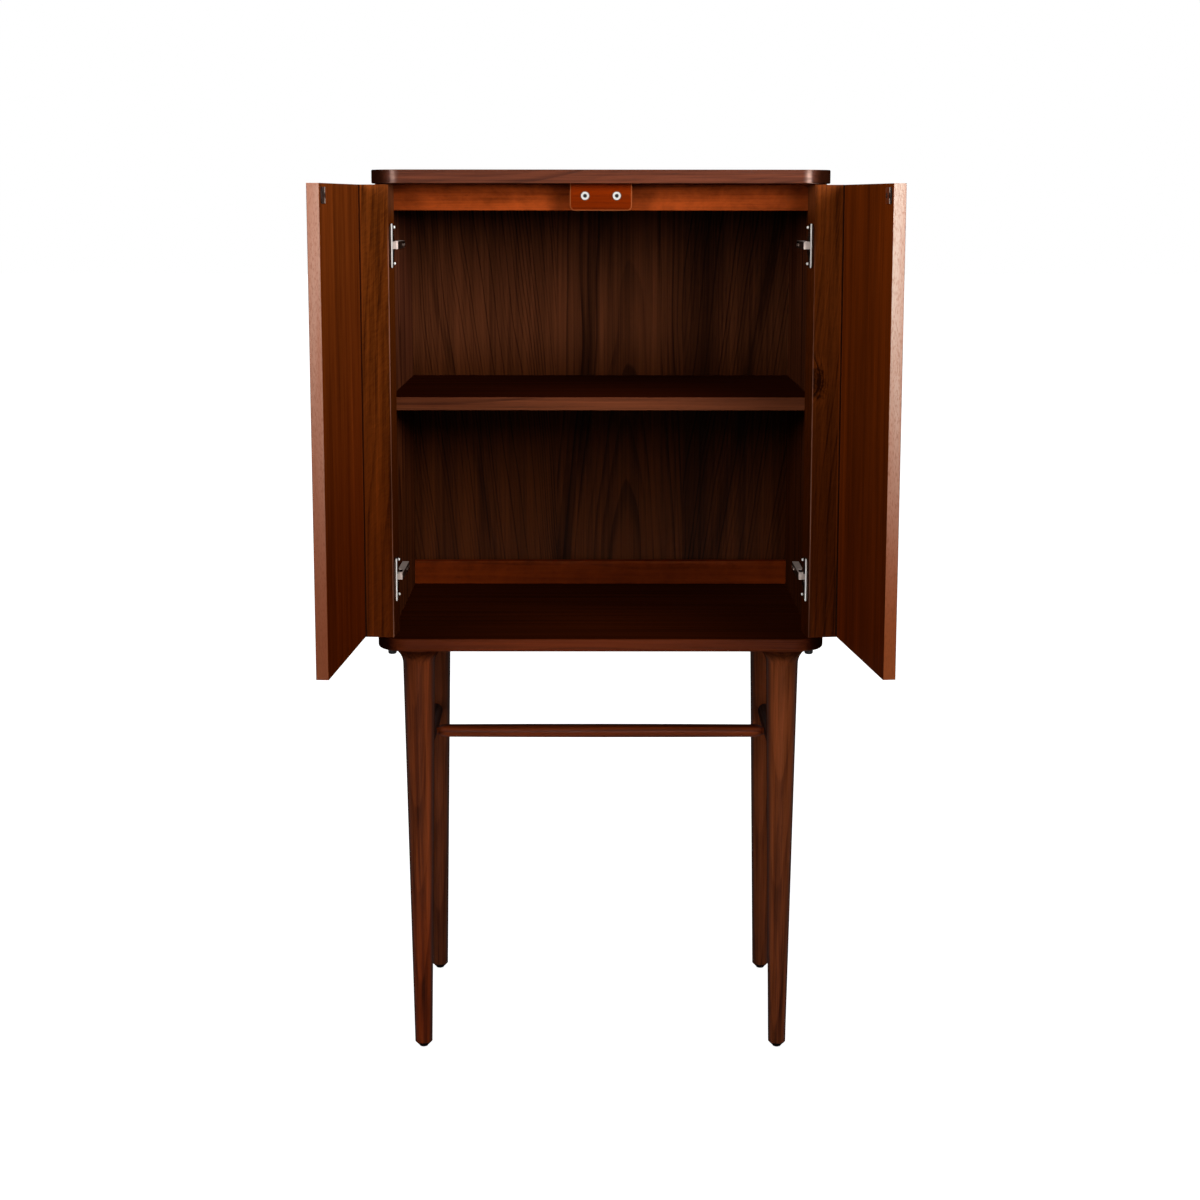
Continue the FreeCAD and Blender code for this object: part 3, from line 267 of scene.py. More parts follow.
class Wood(Material):
    """Stained, satin lacquered walnut.

    Its figure is a solid one: rings about a pith line beside the board, cut by its faces.
    """

    def __init__(self, name, tone, grain, offset, seams, fine):
        super().__init__(name)
        self.body = linear(*tone)
        self.offset = offset
        source = self.add("ShaderNodeTexCoord").outputs
        self.point, self.normal = source["Object"], source["Normal"]
        self.parts = self.split(self.point)
        self.facing = self.split(self.normal)
        self.u, self.v, self.w = (self.parts[i] for i in GRAIN_ORDER[grain])
        self.past = [self.math("GREATER_THAN", self.u, seam) for seam in seams]
        leaf = self.join(self.u, self.v, self.plus(self.w, self.by_leaf(LEAF_SHIFTS)))
        self.along = self.vector("ADD", leaf, offset)
        self.sway_u = self.noise(self.along, SWAY)
        self.sway_v = self.noise(self.vector("ADD", self.along, SWAY_APART), SWAY)
        self.band = self.noise(self.along, BAND)
        fibre, streak = ((x * fine, y * fine, z) for x, y, z in (FIBRE, STREAK))
        self.fibre = self.noise(self.along, fibre, rough=0.6)
        self.streak = self.noise(self.along, streak, detail=3.0, rough=0.62)
        self.pore = self.ramp(self.noise(self.along, PORE, detail=1.0), *PORE_THRESHOLD)
        self.end = self.ramp(self.size(self.facing["XYZ".index(grain)]), *ENDWAYS)

    def by_leaf(self, values):
        """A value for each leaf of the veneer, changing at the seams."""
        result = values[0]
        for step, before, after in zip(self.past, values, values[1:]):
            if after != before:
                result = self.plus(result, self.times(step, after - before))
        return result

    def from_pith(self, place, pith, drift, sway, wander):
        """How far across the grain a place is from the pith line, swaying with the rings."""
        straight = self.minus(self.minus(place, pith), self.times(self.w, drift))
        return self.plus(straight, self.times(sway, wander))

    def rings(self, piths, wander, knot):
        """The late wood of the rings, which wander slowly and swerve round a knot, and the knot."""
        pith_u, pith_v, drift_u, drift_v, ring = (self.by_leaf(p) for p in zip(*piths))
        across = self.from_pith(self.u, pith_u, drift_u, self.sway_u, wander)
        deep = self.from_pith(self.v, pith_v, drift_v, self.sway_v, wander)
        reach = self.math("SQRT", self.plus(self.times(across, across), self.times(deep, deep)))
        eye = None
        if knot:
            centre, size = knot
            away = self.vector("SUBTRACT", self.point, centre)
            far = self.measure("LENGTH", self.vector("MULTIPLY", away, KNOT_SHAPE))
            eye = self.ramp(far, size * KNOT_REACH, 0.0)
            reach = self.plus(reach, self.times(eye, size * KNOT_SWERVE))
        turns = self.math("DIVIDE", reach, ring)
        turns = self.plus(turns, self.times(self.noise(self.along, WOBBLE), RINGS_WOBBLED))
        phase = self.math("FRACT", turns)
        late = self.times(self.ramp(phase, *LATE_COMES), self.ramp(phase, *LATE_ENDS))
        number = self.math("FLOOR", turns)
        year = self.add("ShaderNodeTexWhiteNoise", {"W": number}, noise_dimensions="1D").outputs[0]
        return self.times(late, self.ramp(year, *YEAR_STRENGTHS)), eye

    def curl(self, ripple, slant, across, along):
        """A cross figure, leaning with the board's width."""
        climb = self.minus(self.w, self.times(self.u, slant))
        climb = self.plus(climb, self.total((self.sway_u, CURL_SWAY), (ripple, CURL_RIPPLE)))
        wave = self.vector("ADD", self.join(self.u, self.v, climb), self.offset)
        return self.noise(wave, (across, across, along), detail=3.0, rough=0.65)

    def vein(self, middle_u, middle_w, slope, width):
        """A dark band that leans along the board."""
        leaning = self.times(self.minus(self.w, middle_w), slope)
        off = self.minus(self.minus(self.u, middle_u), leaning)
        off = self.plus(off, self.times(self.sway_u, VEIN_SWAY))
        off = self.plus(off, self.times(self.band, width * VEIN_RAGGED))
        return self.ramp(self.size(off), width, 0.0)

    def draw_knot(self, level, eye, late):
        """The figure with a pale swirl, dark rings and a torn heart added."""
        level = self.plus(level, self.times(self.ramp(eye, *SWIRL_THRESHOLD), KNOT_PALE))
        level = self.minus(level, self.times(self.times(eye, late), KNOT_RINGS))
        torn = self.noise(self.along, TORN, detail=4.0, rough=0.7)
        torn = self.times(torn, TORN_STRETCH)
        torn = self.ramp(self.plus(torn, eye), *TORN_THRESHOLD)
        return self.minus(level, self.times(torn, KNOT_TORN))

    def stain(self, level):
        """The figure's levels as colours, dark to pale."""
        shades = self.add("ShaderNodeValToRGB", {"Fac": self.plus(self.times(level, 0.5), 0.5)})
        elements = shades.color_ramp.elements
        for element, (position, share) in zip(elements, (STAIN[0], STAIN[-1])):
            element.position = position
            element.color = scaled(self.body, share)
        for position, share in STAIN[1:-1]:
            elements.new(position).color = scaled(self.body, share)
        self.colour = shades.outputs[0]

    def cover(self, share, colour):
        """Lays a colour over what is there, where share says so."""
        self.colour = self.mix(share, self.colour, colour)

    def fade(self, low, high, below, above):
        """Painted shade and light: keeps one share of each channel below a height and another above
        a second.
        """
        kept = self.mix(self.ramp(self.parts[2], low, high), (*below, 1.0), (*above, 1.0))
        self.colour = self.vector("MULTIPLY", self.colour, kept)

    def paint_top_shade(self, colour):
        """Painted shade: a tone of its own on the face that looks up."""
        streaked = self.mix(self.spread(self.streak), scaled(colour, TOP_STREAK_SHARE), colour)
        self.cover(self.ramp(self.facing[2], *UPWARD), streaked)

    def glint(self, leaning, strength):
        """A painted highlight, pale where a rounded corner leans so far sideways."""
        near = self.ramp(self.size(self.minus(self.facing[0], leaning)), *GLINT_WIDTH)
        near = self.times(near, self.ramp(self.streak, *GLINT_STREAKS))
        self.cover(self.times(near, strength), GLINT_PALE)

    def paint_flank_shade(self, share):
        """Painted shade on the two sides of a turned piece, as seen from the front."""
        aside = self.times(self.ramp(self.size(self.facing[0]), *SIDEWAYS), FLANK_SHADE_STRENGTH)
        self.cover(aside, scaled(self.body, share))

    def darken_tip(self, height):
        self.cover(self.ramp(self.parts[2], *(height * share for share in TIP_EDGE)), FOOT_DARK)

    def paint_chamfer_highlight(self, colour):
        # A painted highlight on the slanting arrises
        straight = self.math("MAXIMUM", self.size(self.facing[0]), self.size(self.facing[1]))
        straight = self.math("MAXIMUM", straight, self.size(self.facing[2]))
        self.cover(self.ramp(straight, *SLANTING), colour)

    def shade_face(self, direction, share, lit_top_tone):
        """Painted shade on the face that looks one way, with a painted lighter tone at the top."""
        top = self.ramp(self.parts[2], *FACE_SHADE_TOP)
        overlay = self.mix(top, scaled(self.body, share), linear(*lit_top_tone))
        towards = self.measure("DOT_PRODUCT", self.normal, direction)
        self.cover(self.ramp(towards, *FACE_SHADE_FACING, 0.0, FACE_SHADE_STRENGTH), overlay)

    def pale_lip_with_sheen(self, direction, lit_tone, shaded_tone):
        """A pale, flecked end face with a painted sheen: paler at the top, browner towards the
        floor.
        """
        brown = linear(*shaded_tone)
        height = self.plus(self.parts[2], self.times(self.band, LIP_BAND))
        pale = self.mix(self.ramp(height, *LIP_HEIGHTS), brown, linear(*lit_tone))
        fleck = self.noise(self.along, FLECK, detail=3.0, rough=0.65)
        fleck = self.ramp(fleck, *FLECK_THRESHOLD)
        pale = self.mix(self.times(fleck, FLECK_STRENGTH), pale, scaled(brown, FLECK_SHARE))
        streak = self.ramp(self.streak, *LIP_STREAKS, 0.0, LIP_STREAK_STRENGTH)
        pale = self.mix(streak, pale, scaled(brown, LIP_STREAK_SHARE))
        towards = self.measure("DOT_PRODUCT", self.normal, direction)
        self.cover(self.ramp(towards, *LIP_FACING), pale)

    def rub_and_highlight_arrises(self):
        """Arrises a little paler, rubbed and with a painted highlight, found by rounding them in
        the shader.
        """
        rounded = self.add("ShaderNodeBevel", {"Radius": ARRIS_RADIUS}, samples=4).outputs[0]
        flat = self.add("ShaderNodeNewGeometry").outputs["Normal"]
        rub_and_highlight = self.ramp(self.measure("DOT_PRODUCT", rounded, flat), *ARRIS_TURN)
        rub_and_highlight = self.times(rub_and_highlight, self.spread(self.band, 0.3, 1.0))
        self.cover(self.times(rub_and_highlight, RUB_AND_HIGHLIGHT_STRENGTH), scaled(self.body, RUB_AND_HIGHLIGHT_SHARE))

    def plan_gap(self, place):
        """The distance in plan from an upright line."""
        level = self.join(self.parts[0], self.parts[1], 0.0)
        return self.measure("DISTANCE", level, (*place, 0.0))

    def paint_joint_shadow(self, place):
        """A painted shadow line in the upright joint between two boards, paler beside it: rubbed,
        with a painted highlight.
        """
        gap = self.plan_gap(place)
        pale_band = self.times(self.ramp(gap, *JOINT_PALE), self.ramp(self.streak, *JOINT_STREAKS))
        self.cover(pale_band, scaled(self.body, RUB_AND_HIGHLIGHT_SHARE))
        self.cover(self.times(self.ramp(gap, *JOINT_LINE), JOINT_SHADOW_STRENGTH), JOINT_SHADOW)

    def paint_arris_highlight(self, place):
        """A painted highlight along an upright arris, fading out at the top."""
        pale_band = self.ramp(self.plan_gap(place), *ARRIS_LINE)
        pale_band = self.times(pale_band, self.ramp(self.streak, *ARRIS_STREAKS))
        self.cover(self.times(pale_band, self.ramp(self.parts[2], *ARRIS_TOP)), ARRIS_HIGHLIGHT)

    def lacquer(self, gloss, shine, late):
        """The finished material; its sheen fades on faces seen aslant and on end grain."""
        rough = self.total(*zip((self.fibre, self.pore, self.band), ROUGH_WEIGHTS))
        relief = self.total(*zip((self.fibre, self.pore, late), RELIEF_WEIGHTS))
        slim = self.add("ShaderNodeLayerWeight", {"Blend": 0.5}).outputs["Facing"]
        sheen = self.times(self.ramp(slim, *SHEEN_FADES, 1.0, 0.0), shine)
        return self.coat({
            "Base Color": self.colour, "Roughness": self.plus(rough, gloss),
            "Specular IOR Level": self.times(sheen, self.minus(1.0, self.end)),
            "Normal": self.bump(relief, RELIEF_STRENGTH, RELIEF_DEPTH)})


def wood(name, tone, grain, piths, offset=(0, 0, 0), contrast=1.0, lines=0.5, fine=1.0,
         wander=0.045, curls=(), seams=(), tints=(), veins=(), knot=None, shade_fall=None, upper=None,
         ends=0.55, glints=(), flank_shade=None, tip=None, chamfer_highlight=None, shade=None, lip=None,
         corner=None, edge=None, gloss=0.38, shine=0.05):
    """A board's walnut, from what shows on it.

    tone: its middle colour
    grain: the axis that the fibres follow
    piths: for each leaf of veneer, the ring centre's place across the grain, as two numbers, its
        drift along the grain, as two more, and the ring width
    offset: where in the noises the board is cut
    contrast, lines: the strength of the streaks and of the rings
    fine, wander: how fine the fibres and streaks are, and how far the rings sway
    curls: cross figures, each with strength, steepness and fineness across and along
    seams, tints: the places of the veneer's seams, and its leaves' own tones
    veins: dark bands, each with a place, a height there, slope, width and strength
    knot: its centre and size
    shade_fall: painted shade; two heights, and the shares of red, green and blue kept at each
    upper: the tone of painted shade on the face that looks up
    ends: how far end grain is darkened, its own darker tone with painted shade on rounded sides
    glints: painted highlights, the leanings of a rounded corner where it is pale, each with its
    strength
    flank_shade: painted shade, the share of the tone on a turned piece's two sides
    tip: the height of a leg's dark foot
    chamfer_highlight: the tone of a painted highlight on the slanting arrises
    shade: painted shade; a direction, the tone's share on the face that looks there, its lit top
    tone
    lip: the direction of a pale end face, with its upper and lower colours, painted lit and shaded
    corner, edge: the places in plan of a joint's painted shadow line and of an arris's painted
    highlight
    gloss, shine: the lacquer's roughness and its sheen
    """
    g = Wood(name, tone, grain, offset, seams, fine)
    late, eye = g.rings(piths, wander, knot)
    level = g.total((g.fibre, FIBRE_WEIGHT * contrast), (g.streak, STREAK_WEIGHT * contrast),
                    (g.band, BAND_WEIGHT * contrast), (late, -lines), (g.pore, PORE_WEIGHT))
    ripple = g.noise(g.along, RIPPLE, detail=3.0) if curls else None
    for strength, *figure in curls:
        level = g.plus(level, g.times(g.curl(ripple, *figure), strength))
    for *course, strength in veins:
        level = g.minus(level, g.times(g.vein(*course), strength))
    if tints:
        level = g.plus(level, g.by_leaf(tints))
    if knot:
        level = g.draw_knot(level, eye, late)
    g.stain(level)
    # Painted shade, darker where less light reaches
    if shade_fall:
        g.fade(*shade_fall)
    # Painted shade on the face that looks up
    if upper:
        g.paint_top_shade(linear(*upper))
    # End grain darker: its own tone, and painted shade on rounded corners and the legs' flared tops
    g.cover(g.times(g.end, ends), scaled(g.body, END_AND_SHADE_SHARE))
    for leaning, strength in glints:
        g.glint(leaning, strength)
    if flank_shade:
        g.paint_flank_shade(flank_shade)
    if tip:
        g.darken_tip(tip)
    if chamfer_highlight:
        g.paint_chamfer_highlight(linear(*chamfer_highlight))
    if shade:
        g.shade_face(*shade)
    if lip:
        g.pale_lip_with_sheen(*lip)
    g.rub_and_highlight_arrises()
    if corner:
        g.paint_joint_shadow(corner)
    if edge:
        g.paint_arris_highlight(edge)
    return g.lacquer(gloss, shine, late)


# Metal and plastic: how fine the smudges, specks and grain are, and where they show
BRUSH_STRETCH = 0.12
SMUDGE, FLANGE_SMUDGE, STRIKE_SMUDGE = 55.0, 70.0, 240.0
SPECK, SPECK_THRESHOLD, SPECK_STRENGTH = 700.0, (0.12, 0.25), 0.12
FLANGE_SPECK_THRESHOLD = (0.1, 0.25)
SHADED_FACE_FACING = (0.5, 0.9)
SHADE_SMUDGES = (-0.15, 0.2)
RAGGED, RAGGED_DEPTH = 900.0, 0.8 * MM
GRAIN = 1500.0
PATCH_NOISE, PATCH_THRESHOLD, PATCH_STRENGTH = (160.0, 160.0, 480.0), (0.0, 0.25), 0.5
PATCH_HEIGHTS = (4 * MM, 0.5 * MM)

# The strike plates: their tones, the place and half width of a painted highlight line, how unevenly
# the wood's finish stops on them and over how much it fades
STRIKE_DARK, STRIKE_WORN = linear(34, 24, 20), linear(58, 44, 38)
STRIKE_HIGHLIGHT = linear(186, 168, 156)
STRIKE_LINE, LINE_WIDTH, HIGHLIGHT_STRENGTH = 3 * MM, (2.2 * MM, 1.0 * MM), 0.75
FILM_UNEVEN, FILM_FADE = 3 * MM, 0.8 * MM


def metal(name, colour, dull, rough, scale=900.0, metallic=1.0):
    """Plated or painted steel with fine brushing, smudges and a few rubbed spots."""
    g = Material(name)
    place = g.place()
    brush = g.noise(place, (scale, scale, scale * BRUSH_STRETCH))
    smudge = g.noise(place, SMUDGE, detail=3.0)
    speck = g.ramp(g.noise(place, SPECK, detail=1.0), *SPECK_THRESHOLD)
    tint = g.mix(g.spread(smudge), linear(*colour), linear(*dull))
    tint = g.mix(g.times(speck, SPECK_STRENGTH), tint, linear(*dull))
    return g.coat({
        "Base Color": tint, "Roughness": g.plus(g.total((smudge, 0.14), (brush, 0.08)), rough),
        "Metallic": metallic,
        "Normal": g.bump(g.plus(brush, speck), strength=0.25, distance=0.08 * MM)})


def flange_metal(name, colour, shaded_face_colour, direction, rough, metallic=1.0):
    """Plated steel whose flat faces, those that look one way, are painted dark: painted shade and
    reflection.
    """
    g = Material(name)
    source = g.add("ShaderNodeTexCoord").outputs
    smudge = g.noise(source["Object"], FLANGE_SMUDGE, detail=3.0)
    speck = g.noise(source["Object"], SPECK, detail=1.0)
    speck = g.ramp(speck, *FLANGE_SPECK_THRESHOLD)
    plate, overlay = linear(*colour), linear(*shaded_face_colour)
    plate = g.mix(g.spread(smudge), plate, scaled(plate, 0.8))
    overlay = g.mix(g.ramp(smudge, *SHADE_SMUDGES), overlay, scaled(overlay, 0.5))
    flat = g.ramp(g.measure("DOT_PRODUCT", source["Normal"], direction), *SHADED_FACE_FACING)
    return g.coat({
        "Base Color": g.mix(flat, plate, overlay),
        "Roughness": g.plus(g.total((smudge, 0.1), (speck, 0.05)), rough),
        "Metallic": g.ramp(flat, 0.0, 1.0, metallic, 0.0),
        "Specular IOR Level": g.times(g.spread(smudge), 0.1),
        "Normal": g.bump(smudge, strength=0.15, distance=0.1 * MM)})


def ring_metal(name, outside, inside, reach):
    """Steel with a round middle of another tone; reach is where the one passes into the other."""
    g = Material(name)
    place = g.place()
    parts = g.split(place)
    sideways = g.minus(g.size(parts[0]), CATCH_SPACING / 2)
    upwards = g.minus(parts[2], middle("catch_screws").z)
    far = g.measure("LENGTH", g.join(sideways, upwards, 0.0))
    ragged = g.plus(far, g.times(g.noise(place, RAGGED), RAGGED_DEPTH))
    return g.coat({
        "Base Color": g.mix(g.ramp(ragged, *reach), linear(*inside), linear(*outside)),
        "Roughness": g.plus(g.times(g.noise(place, 300.0), 0.2), 0.36),
        "Metallic": 0.5, "Specular IOR Level": 0.2})


def strike_metal(name, side, start, overlay):
    """Dark steel with a painted highlight line; short of start the wood's finish is on it."""
    g = Material(name)
    place = g.place()
    away = g.vector("SUBTRACT", place, tuple(pin_line[side]))
    along = g.measure("DOT_PRODUCT", away, tuple(door_direction(side, 1, 0)))
    smudge = g.noise(place, STRIKE_SMUDGE, detail=3.0)
    along = g.plus(along, g.times(smudge, FILM_UNEVEN))
    line = g.ramp(g.size(g.minus(along, start + STRIKE_LINE)), *LINE_WIDTH)
    tint = g.mix(g.spread(smudge), STRIKE_DARK, STRIKE_WORN)
    tint = g.mix(g.times(line, HIGHLIGHT_STRENGTH), tint, STRIKE_HIGHLIGHT)
    bare = g.ramp(along, start - FILM_FADE, start + FILM_FADE)
    return g.coat({
        "Base Color": g.mix(bare, linear(*overlay), tint),
        "Roughness": g.plus(g.times(smudge, 0.2), 0.45), "Metallic": g.times(bare, 0.3),
        "Specular IOR Level": g.spread(smudge, 0.02, 0.1)})


def plastic(name, colour, pale):
    """Moulded plastic with a fine grain, paler in patches near its lower edge."""
    g = Material(name)
    place = g.place()
    grain = g.noise(place, GRAIN)
    patches = g.ramp(g.noise(place, PATCH_NOISE, detail=3.0), *PATCH_THRESHOLD)
    pale_patches = g.times(patches, g.ramp(g.split(place)[2], *PATCH_HEIGHTS))
    tint = g.mix(g.times(pale_patches, PATCH_STRENGTH), linear(*colour), linear(*pale))
    return g.coat({
        "Base Color": g.mix(g.spread(grain, 0.0, 0.25), tint, linear(*pale)),
        "Roughness": g.plus(0.5, g.times(grain, 0.2)), "Specular IOR Level": 0.15,
        "Normal": g.bump(grain, strength=0.3, distance=0.1 * MM)})


def dress(material, *names):
    for name in names:
        mesh = nodes[name].data
        mesh.materials.clear()
        mesh.materials.append(material)


def middle(name):
    low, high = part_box(name)
    return (low + high) / 2


# How far each door stands open, where its pins are, and its body
open_turn = {}
pin_line = {}
door_body = {}
for joint in frame["joints"]:
    side = joint["child"].split("_")[0]
    open_turn[side] = math.radians(joint["range_deg"][1])
    pin_line[side] = Vector(joint["pos_m"])
    door_body[side] = joint["child"]


def door_direction(side, x, y):
    """A direction on the closed door, X to the cabinet's middle and Y back, as it stands open."""
    angle = open_turn[side]
    turned_x = x * math.cos(angle) + y * math.sin(angle)
    turned_y = -x * math.sin(angle) + y * math.cos(angle)
    return Vector((-SIDES[side] * turned_x, turned_y, 0))


# On the closed door, from its pins: the corner between panel and post, and the post's rear arris
POST_INNER = 38.8 * MM
INNER_FACE = -25.5 * MM
POST_REAR = 13.5 * MM
inner_corner = {side: pin_line[side] + door_direction(side, POST_INNER, INNER_FACE)
                for side in SIDES}

# Boards. A shade fall, painted shade, has its two heights and the shares kept below and above them
SIDE_SHADE_FALL = (0.75, 1.1, (0.74, 0.7, 0.5), (0.97, 1.06, 1.15))
BACK_SHADE_FALL = (0.9, 1.0, (0.6, 0.52, 0.32), (1.0, 1.03, 1.0))
# The top: painted highlights on its rounded front corners
dress(wood("walnut_top", (70, 33, 19), "X", [(0.03, 1.33, 0.05, 0.02, 0.006)], (3.1, 0.4, 0.2),
           lines=0.35, shine=0.06, gloss=0.34, ends=0.9, glints=[(-0.2, 0.2), (0.2, 0.4)]),
      "top_panel")
# Bottom and shelf: their upper faces carry a painted shade
dress(wood("walnut_bottom", (76, 29, 9), "X", [(0.02, 0.47, 0.03, 0.02, 0.006)], (1.7, 2.4, 0.6),
           contrast=0.9, lines=0.3, shine=0.02, ends=0.9, upper=(60, 21, 3)), "bottom_panel")
dress(wood("walnut_shelf", (88, 44, 24), "X", [(0.05, 1.04, 0.04, 0.01, 0.007)], (0.3, 5.2, 1.1),
           contrast=0.8, lines=0.3, shine=0.03, upper=(52, 17, 4)), "shelf")
dress(wood("walnut_side_left", (75, 36, 20), "Z", [(-0.20, 0.10, 0.03, 0.0, 0.008)],
           (0.2, 1.3, 2.0), fine=0.4, shine=0.03, shade_fall=SIDE_SHADE_FALL), "left_side_panel")
dress(wood("walnut_side_right", (61, 27, 12), "Z", [(0.20, 0.12, 0.02, 0.0, 0.008)],
           (4.2, 0.3, 1.0), fine=0.4, shine=0.03, shade_fall=SIDE_SHADE_FALL), "right_side_panel")
dress(wood("walnut_back", (79, 40, 21), "Z",
           [(-0.35, 0.27, -0.10, 0.0, 0.0045), (0.028, 0.345, 0.01, 0.06, 0.007),
            (0.40, 0.30, 0.14, 0.0, 0.006)],
           (0.35, 0.0, 0.2), contrast=0.9, lines=0.55, fine=1.3, wander=0.05, shine=0.01,
           seams=(-0.067, 0.127), tints=(-0.03, 0.0, -0.24), shade_fall=BACK_SHADE_FALL,
           veins=[(-0.014, 1.03, 0.122, 0.022, 0.45), (0.235, 0.99, 0.16, 0.014, 0.35),
                  (0.155, 1.1, 0.03, 0.04, 0.2), (-0.262, 1.12, -0.2, 0.008, 0.2)]), "back_panel")
dress(wood("walnut_front_rail", (104, 41, 11), "X", [(0.02, 1.32, 0.02, 0.0, 0.006)],
           (6.1, 1.0, 0.0), contrast=0.6, lines=0.15, shine=0.01,
           curls=[(0.7, 0.0, 30.0, 38.0), (0.5, 0.0, 120.0, 90.0)]),
      "front_top_rail")
dress(wood("walnut_rear_rails", (102, 37, 6), "X", [(0.02, 0.72, 0.02, 0.0, 0.006)],
           (2.2, 3.0, 0.8), contrast=0.6, lines=0.2, shine=0.02,
           curls=[(0.5, 0.0, 30.0, 38.0), (0.4, 0.0, 120.0, 90.0)]),
      "rear_top_rail", "rear_bottom_rail")
# The catch block: a painted highlight on its chamfers
dress(wood("walnut_block", (84, 23, 0), "X", [(0.03, 1.30, 0.02, 0.0, 0.006)], (8.1, 1.2, 0.4),
           contrast=0.55, lines=0.15, shine=0.01, chamfer_highlight=(118, 60, 30)), "catch_block")

# Doors: the tones of panel, post, the post's painted shaded face and the panel's end face with its
# painted sheen, then their painted shade falls and figure
DOOR_TONES = {"left": (88, 35, 5), "right": (80, 29, 3)}
POST_TONES = {"left": (90, 38, 7), "right": (80, 32, 5)}
SHADE_SHARE = 0.3
# The shaded faces' painted lighter tone at the top
SHADES = {"left": (67, 37, 23), "right": (81, 38, 17)}
# The end faces: pale wood with a painted sheen, lighter at the top, the right one lit more
LIP_TONES = {"left": ((139, 104, 89), (124, 67, 43)), "right": ((166, 147, 134), (136, 69, 36))}
DOOR_SHADE_FALLS = {"left": (0.62, 1.18, (0.82, 0.64, 0.4), (1.05, 1.17, 1.8)),
              "right": (0.6, 0.96, (1.0, 0.92, 0.9), (1.12, 1.18, 1.0))}
POST_SHADE_FALLS = {"left": (0.66, 1.12, (0.7, 0.64, 0.45), (1.06, 1.2, 1.4)),
              "right": (0.66, 1.12, (0.62, 0.6, 0.4), (1.1, 1.25, 1.4))}
CURLS = {"left": [(0.65, 0.9, 90.0, 280.0), (0.45, 4.2, 34.0, 70.0)],
         "right": [(1.1, 7.0, 16.0, 62.0), (0.35, 0.8, 60.0, 160.0)]}
KNOT_RISE, KNOT_INSET, KNOT_SIZE = 0.951, 32 * MM, 9 * MM
for side, sign in SIDES.items():
    corner = inner_corner[side]
    dress(wood(f"walnut_{side}_panel", DOOR_TONES[side], "Z",
               [(corner.x + 0.05, corner.y + 0.03, 0.02, 0.01, 0.005)], (sign * 2.3, 0.7, 1.0),
               contrast=0.8, lines=0.1, fine=0.35, shine=0.01, shade_fall=DOOR_SHADE_FALLS[side],
               lip=(tuple(door_direction(side, 1, 0)), *LIP_TONES[side]), corner=corner[:2]),
          f"{side}_door_panel")
    knot = corner + door_direction(side, 0, KNOT_INSET)
    knot.z = KNOT_RISE
    # The post's rear arris, which carries a painted highlight
    edge = pin_line[side] + door_direction(side, POST_INNER, POST_REAR)
    dress(wood(f"walnut_{side}_post", POST_TONES[side], "Z",
               [(corner.x + 0.03, corner.y + 0.05, 0.06, 0.02, 0.006)], (sign * 3.7, 1.9, 0.3),
               contrast=1.3, lines=0.35, fine=0.8, curls=CURLS[side], shine=0.01,
               knot=(tuple(knot), KNOT_SIZE) if side == "right" else None, corner=corner[:2],
               edge=edge[:2], shade=(tuple(door_direction(side, 0, 1)), SHADE_SHARE, SHADES[side]),
               shade_fall=POST_SHADE_FALLS[side]), f"{side}_door_post")

# Turned pieces, each cut from its own stock: the legs' tones and painted shade falls
LEGS = {"front_left_leg": ((80, 34, 13), (0.06, 0.34, (1.04, 0.78, 0.55), (1.2, 1.25, 1.3))),
        "front_right_leg": ((83, 37, 15), (0.06, 0.34, (0.93, 0.96, 1.0), (1.02, 1.12, 1.2))),
        "rear_left_leg": ((68, 31, 14), None),
        "rear_right_leg": ((80, 37, 16), None)}
LEG_TIP = 7.5 * MM

# Each leg's pith line: its place beside the leg's axis at a height, its leanings and its rings
LEG_PITH_X, LEG_PITH_Y, LEG_PITH_RISE = 6 * MM, 30 * MM, 0.3
LEG_TILT, LEG_TILT_BACK, LEG_RING = 0.02, 0.022, 6.5 * MM
for i, (name, (tone, shade_fall)) in enumerate(LEGS.items()):
    centre = middle(name)
    tilt = LEG_TILT * (-1) ** i
    pith = (centre.x + LEG_PITH_X - tilt * LEG_PITH_RISE, centre.y + LEG_PITH_Y, tilt,
            LEG_TILT_BACK, LEG_RING)
    dress(wood(f"walnut_{name}", tone, "Z", [pith], (0.9 * i, 0.4, 0.0), contrast=1.35, lines=0.35,
               fine=0.9, wander=0.01, flank_shade=0.28, tip=LEG_TIP, shade_fall=shade_fall, shine=0.02), name)
# The side stretchers' tone is painted shade: darker and greyer than the other walnut
SHADED_STRETCHER_TONE = (46, 27, 22)
PITH_ASIDE, STRETCHER_RING = 20 * MM, 5 * MM
for side in SIDES:
    name = f"{side}_side_stretcher"
    centre = middle(name)
    dress(wood(f"walnut_{name}", SHADED_STRETCHER_TONE, "Y",
               [(centre.x + PITH_ASIDE, centre.z + PITH_ASIDE, 0.0, 0.0, STRETCHER_RING)],
               contrast=0.7, lines=0.4, wander=0.01, shine=0.02), name)
# The cross stretcher's upper side carries a painted shade from the cabinet above
centre = middle("cross_stretcher")
dress(wood("walnut_cross_stretcher", (88, 34, 9), "X",
           [(centre.y + PITH_ASIDE, centre.z + PITH_ASIDE, 0.0, 0.0, STRETCHER_RING)],
           contrast=0.7, lines=0.35, wander=0.01, shine=0.04, upper=(40, 10, 2)), "cross_stretcher")
dress(wood("beech_dowels", (176, 130, 84), "Z", [(0.02, 0.05, 0.0, 0.0, 0.004)], contrast=0.5),
      "panel_dowels")

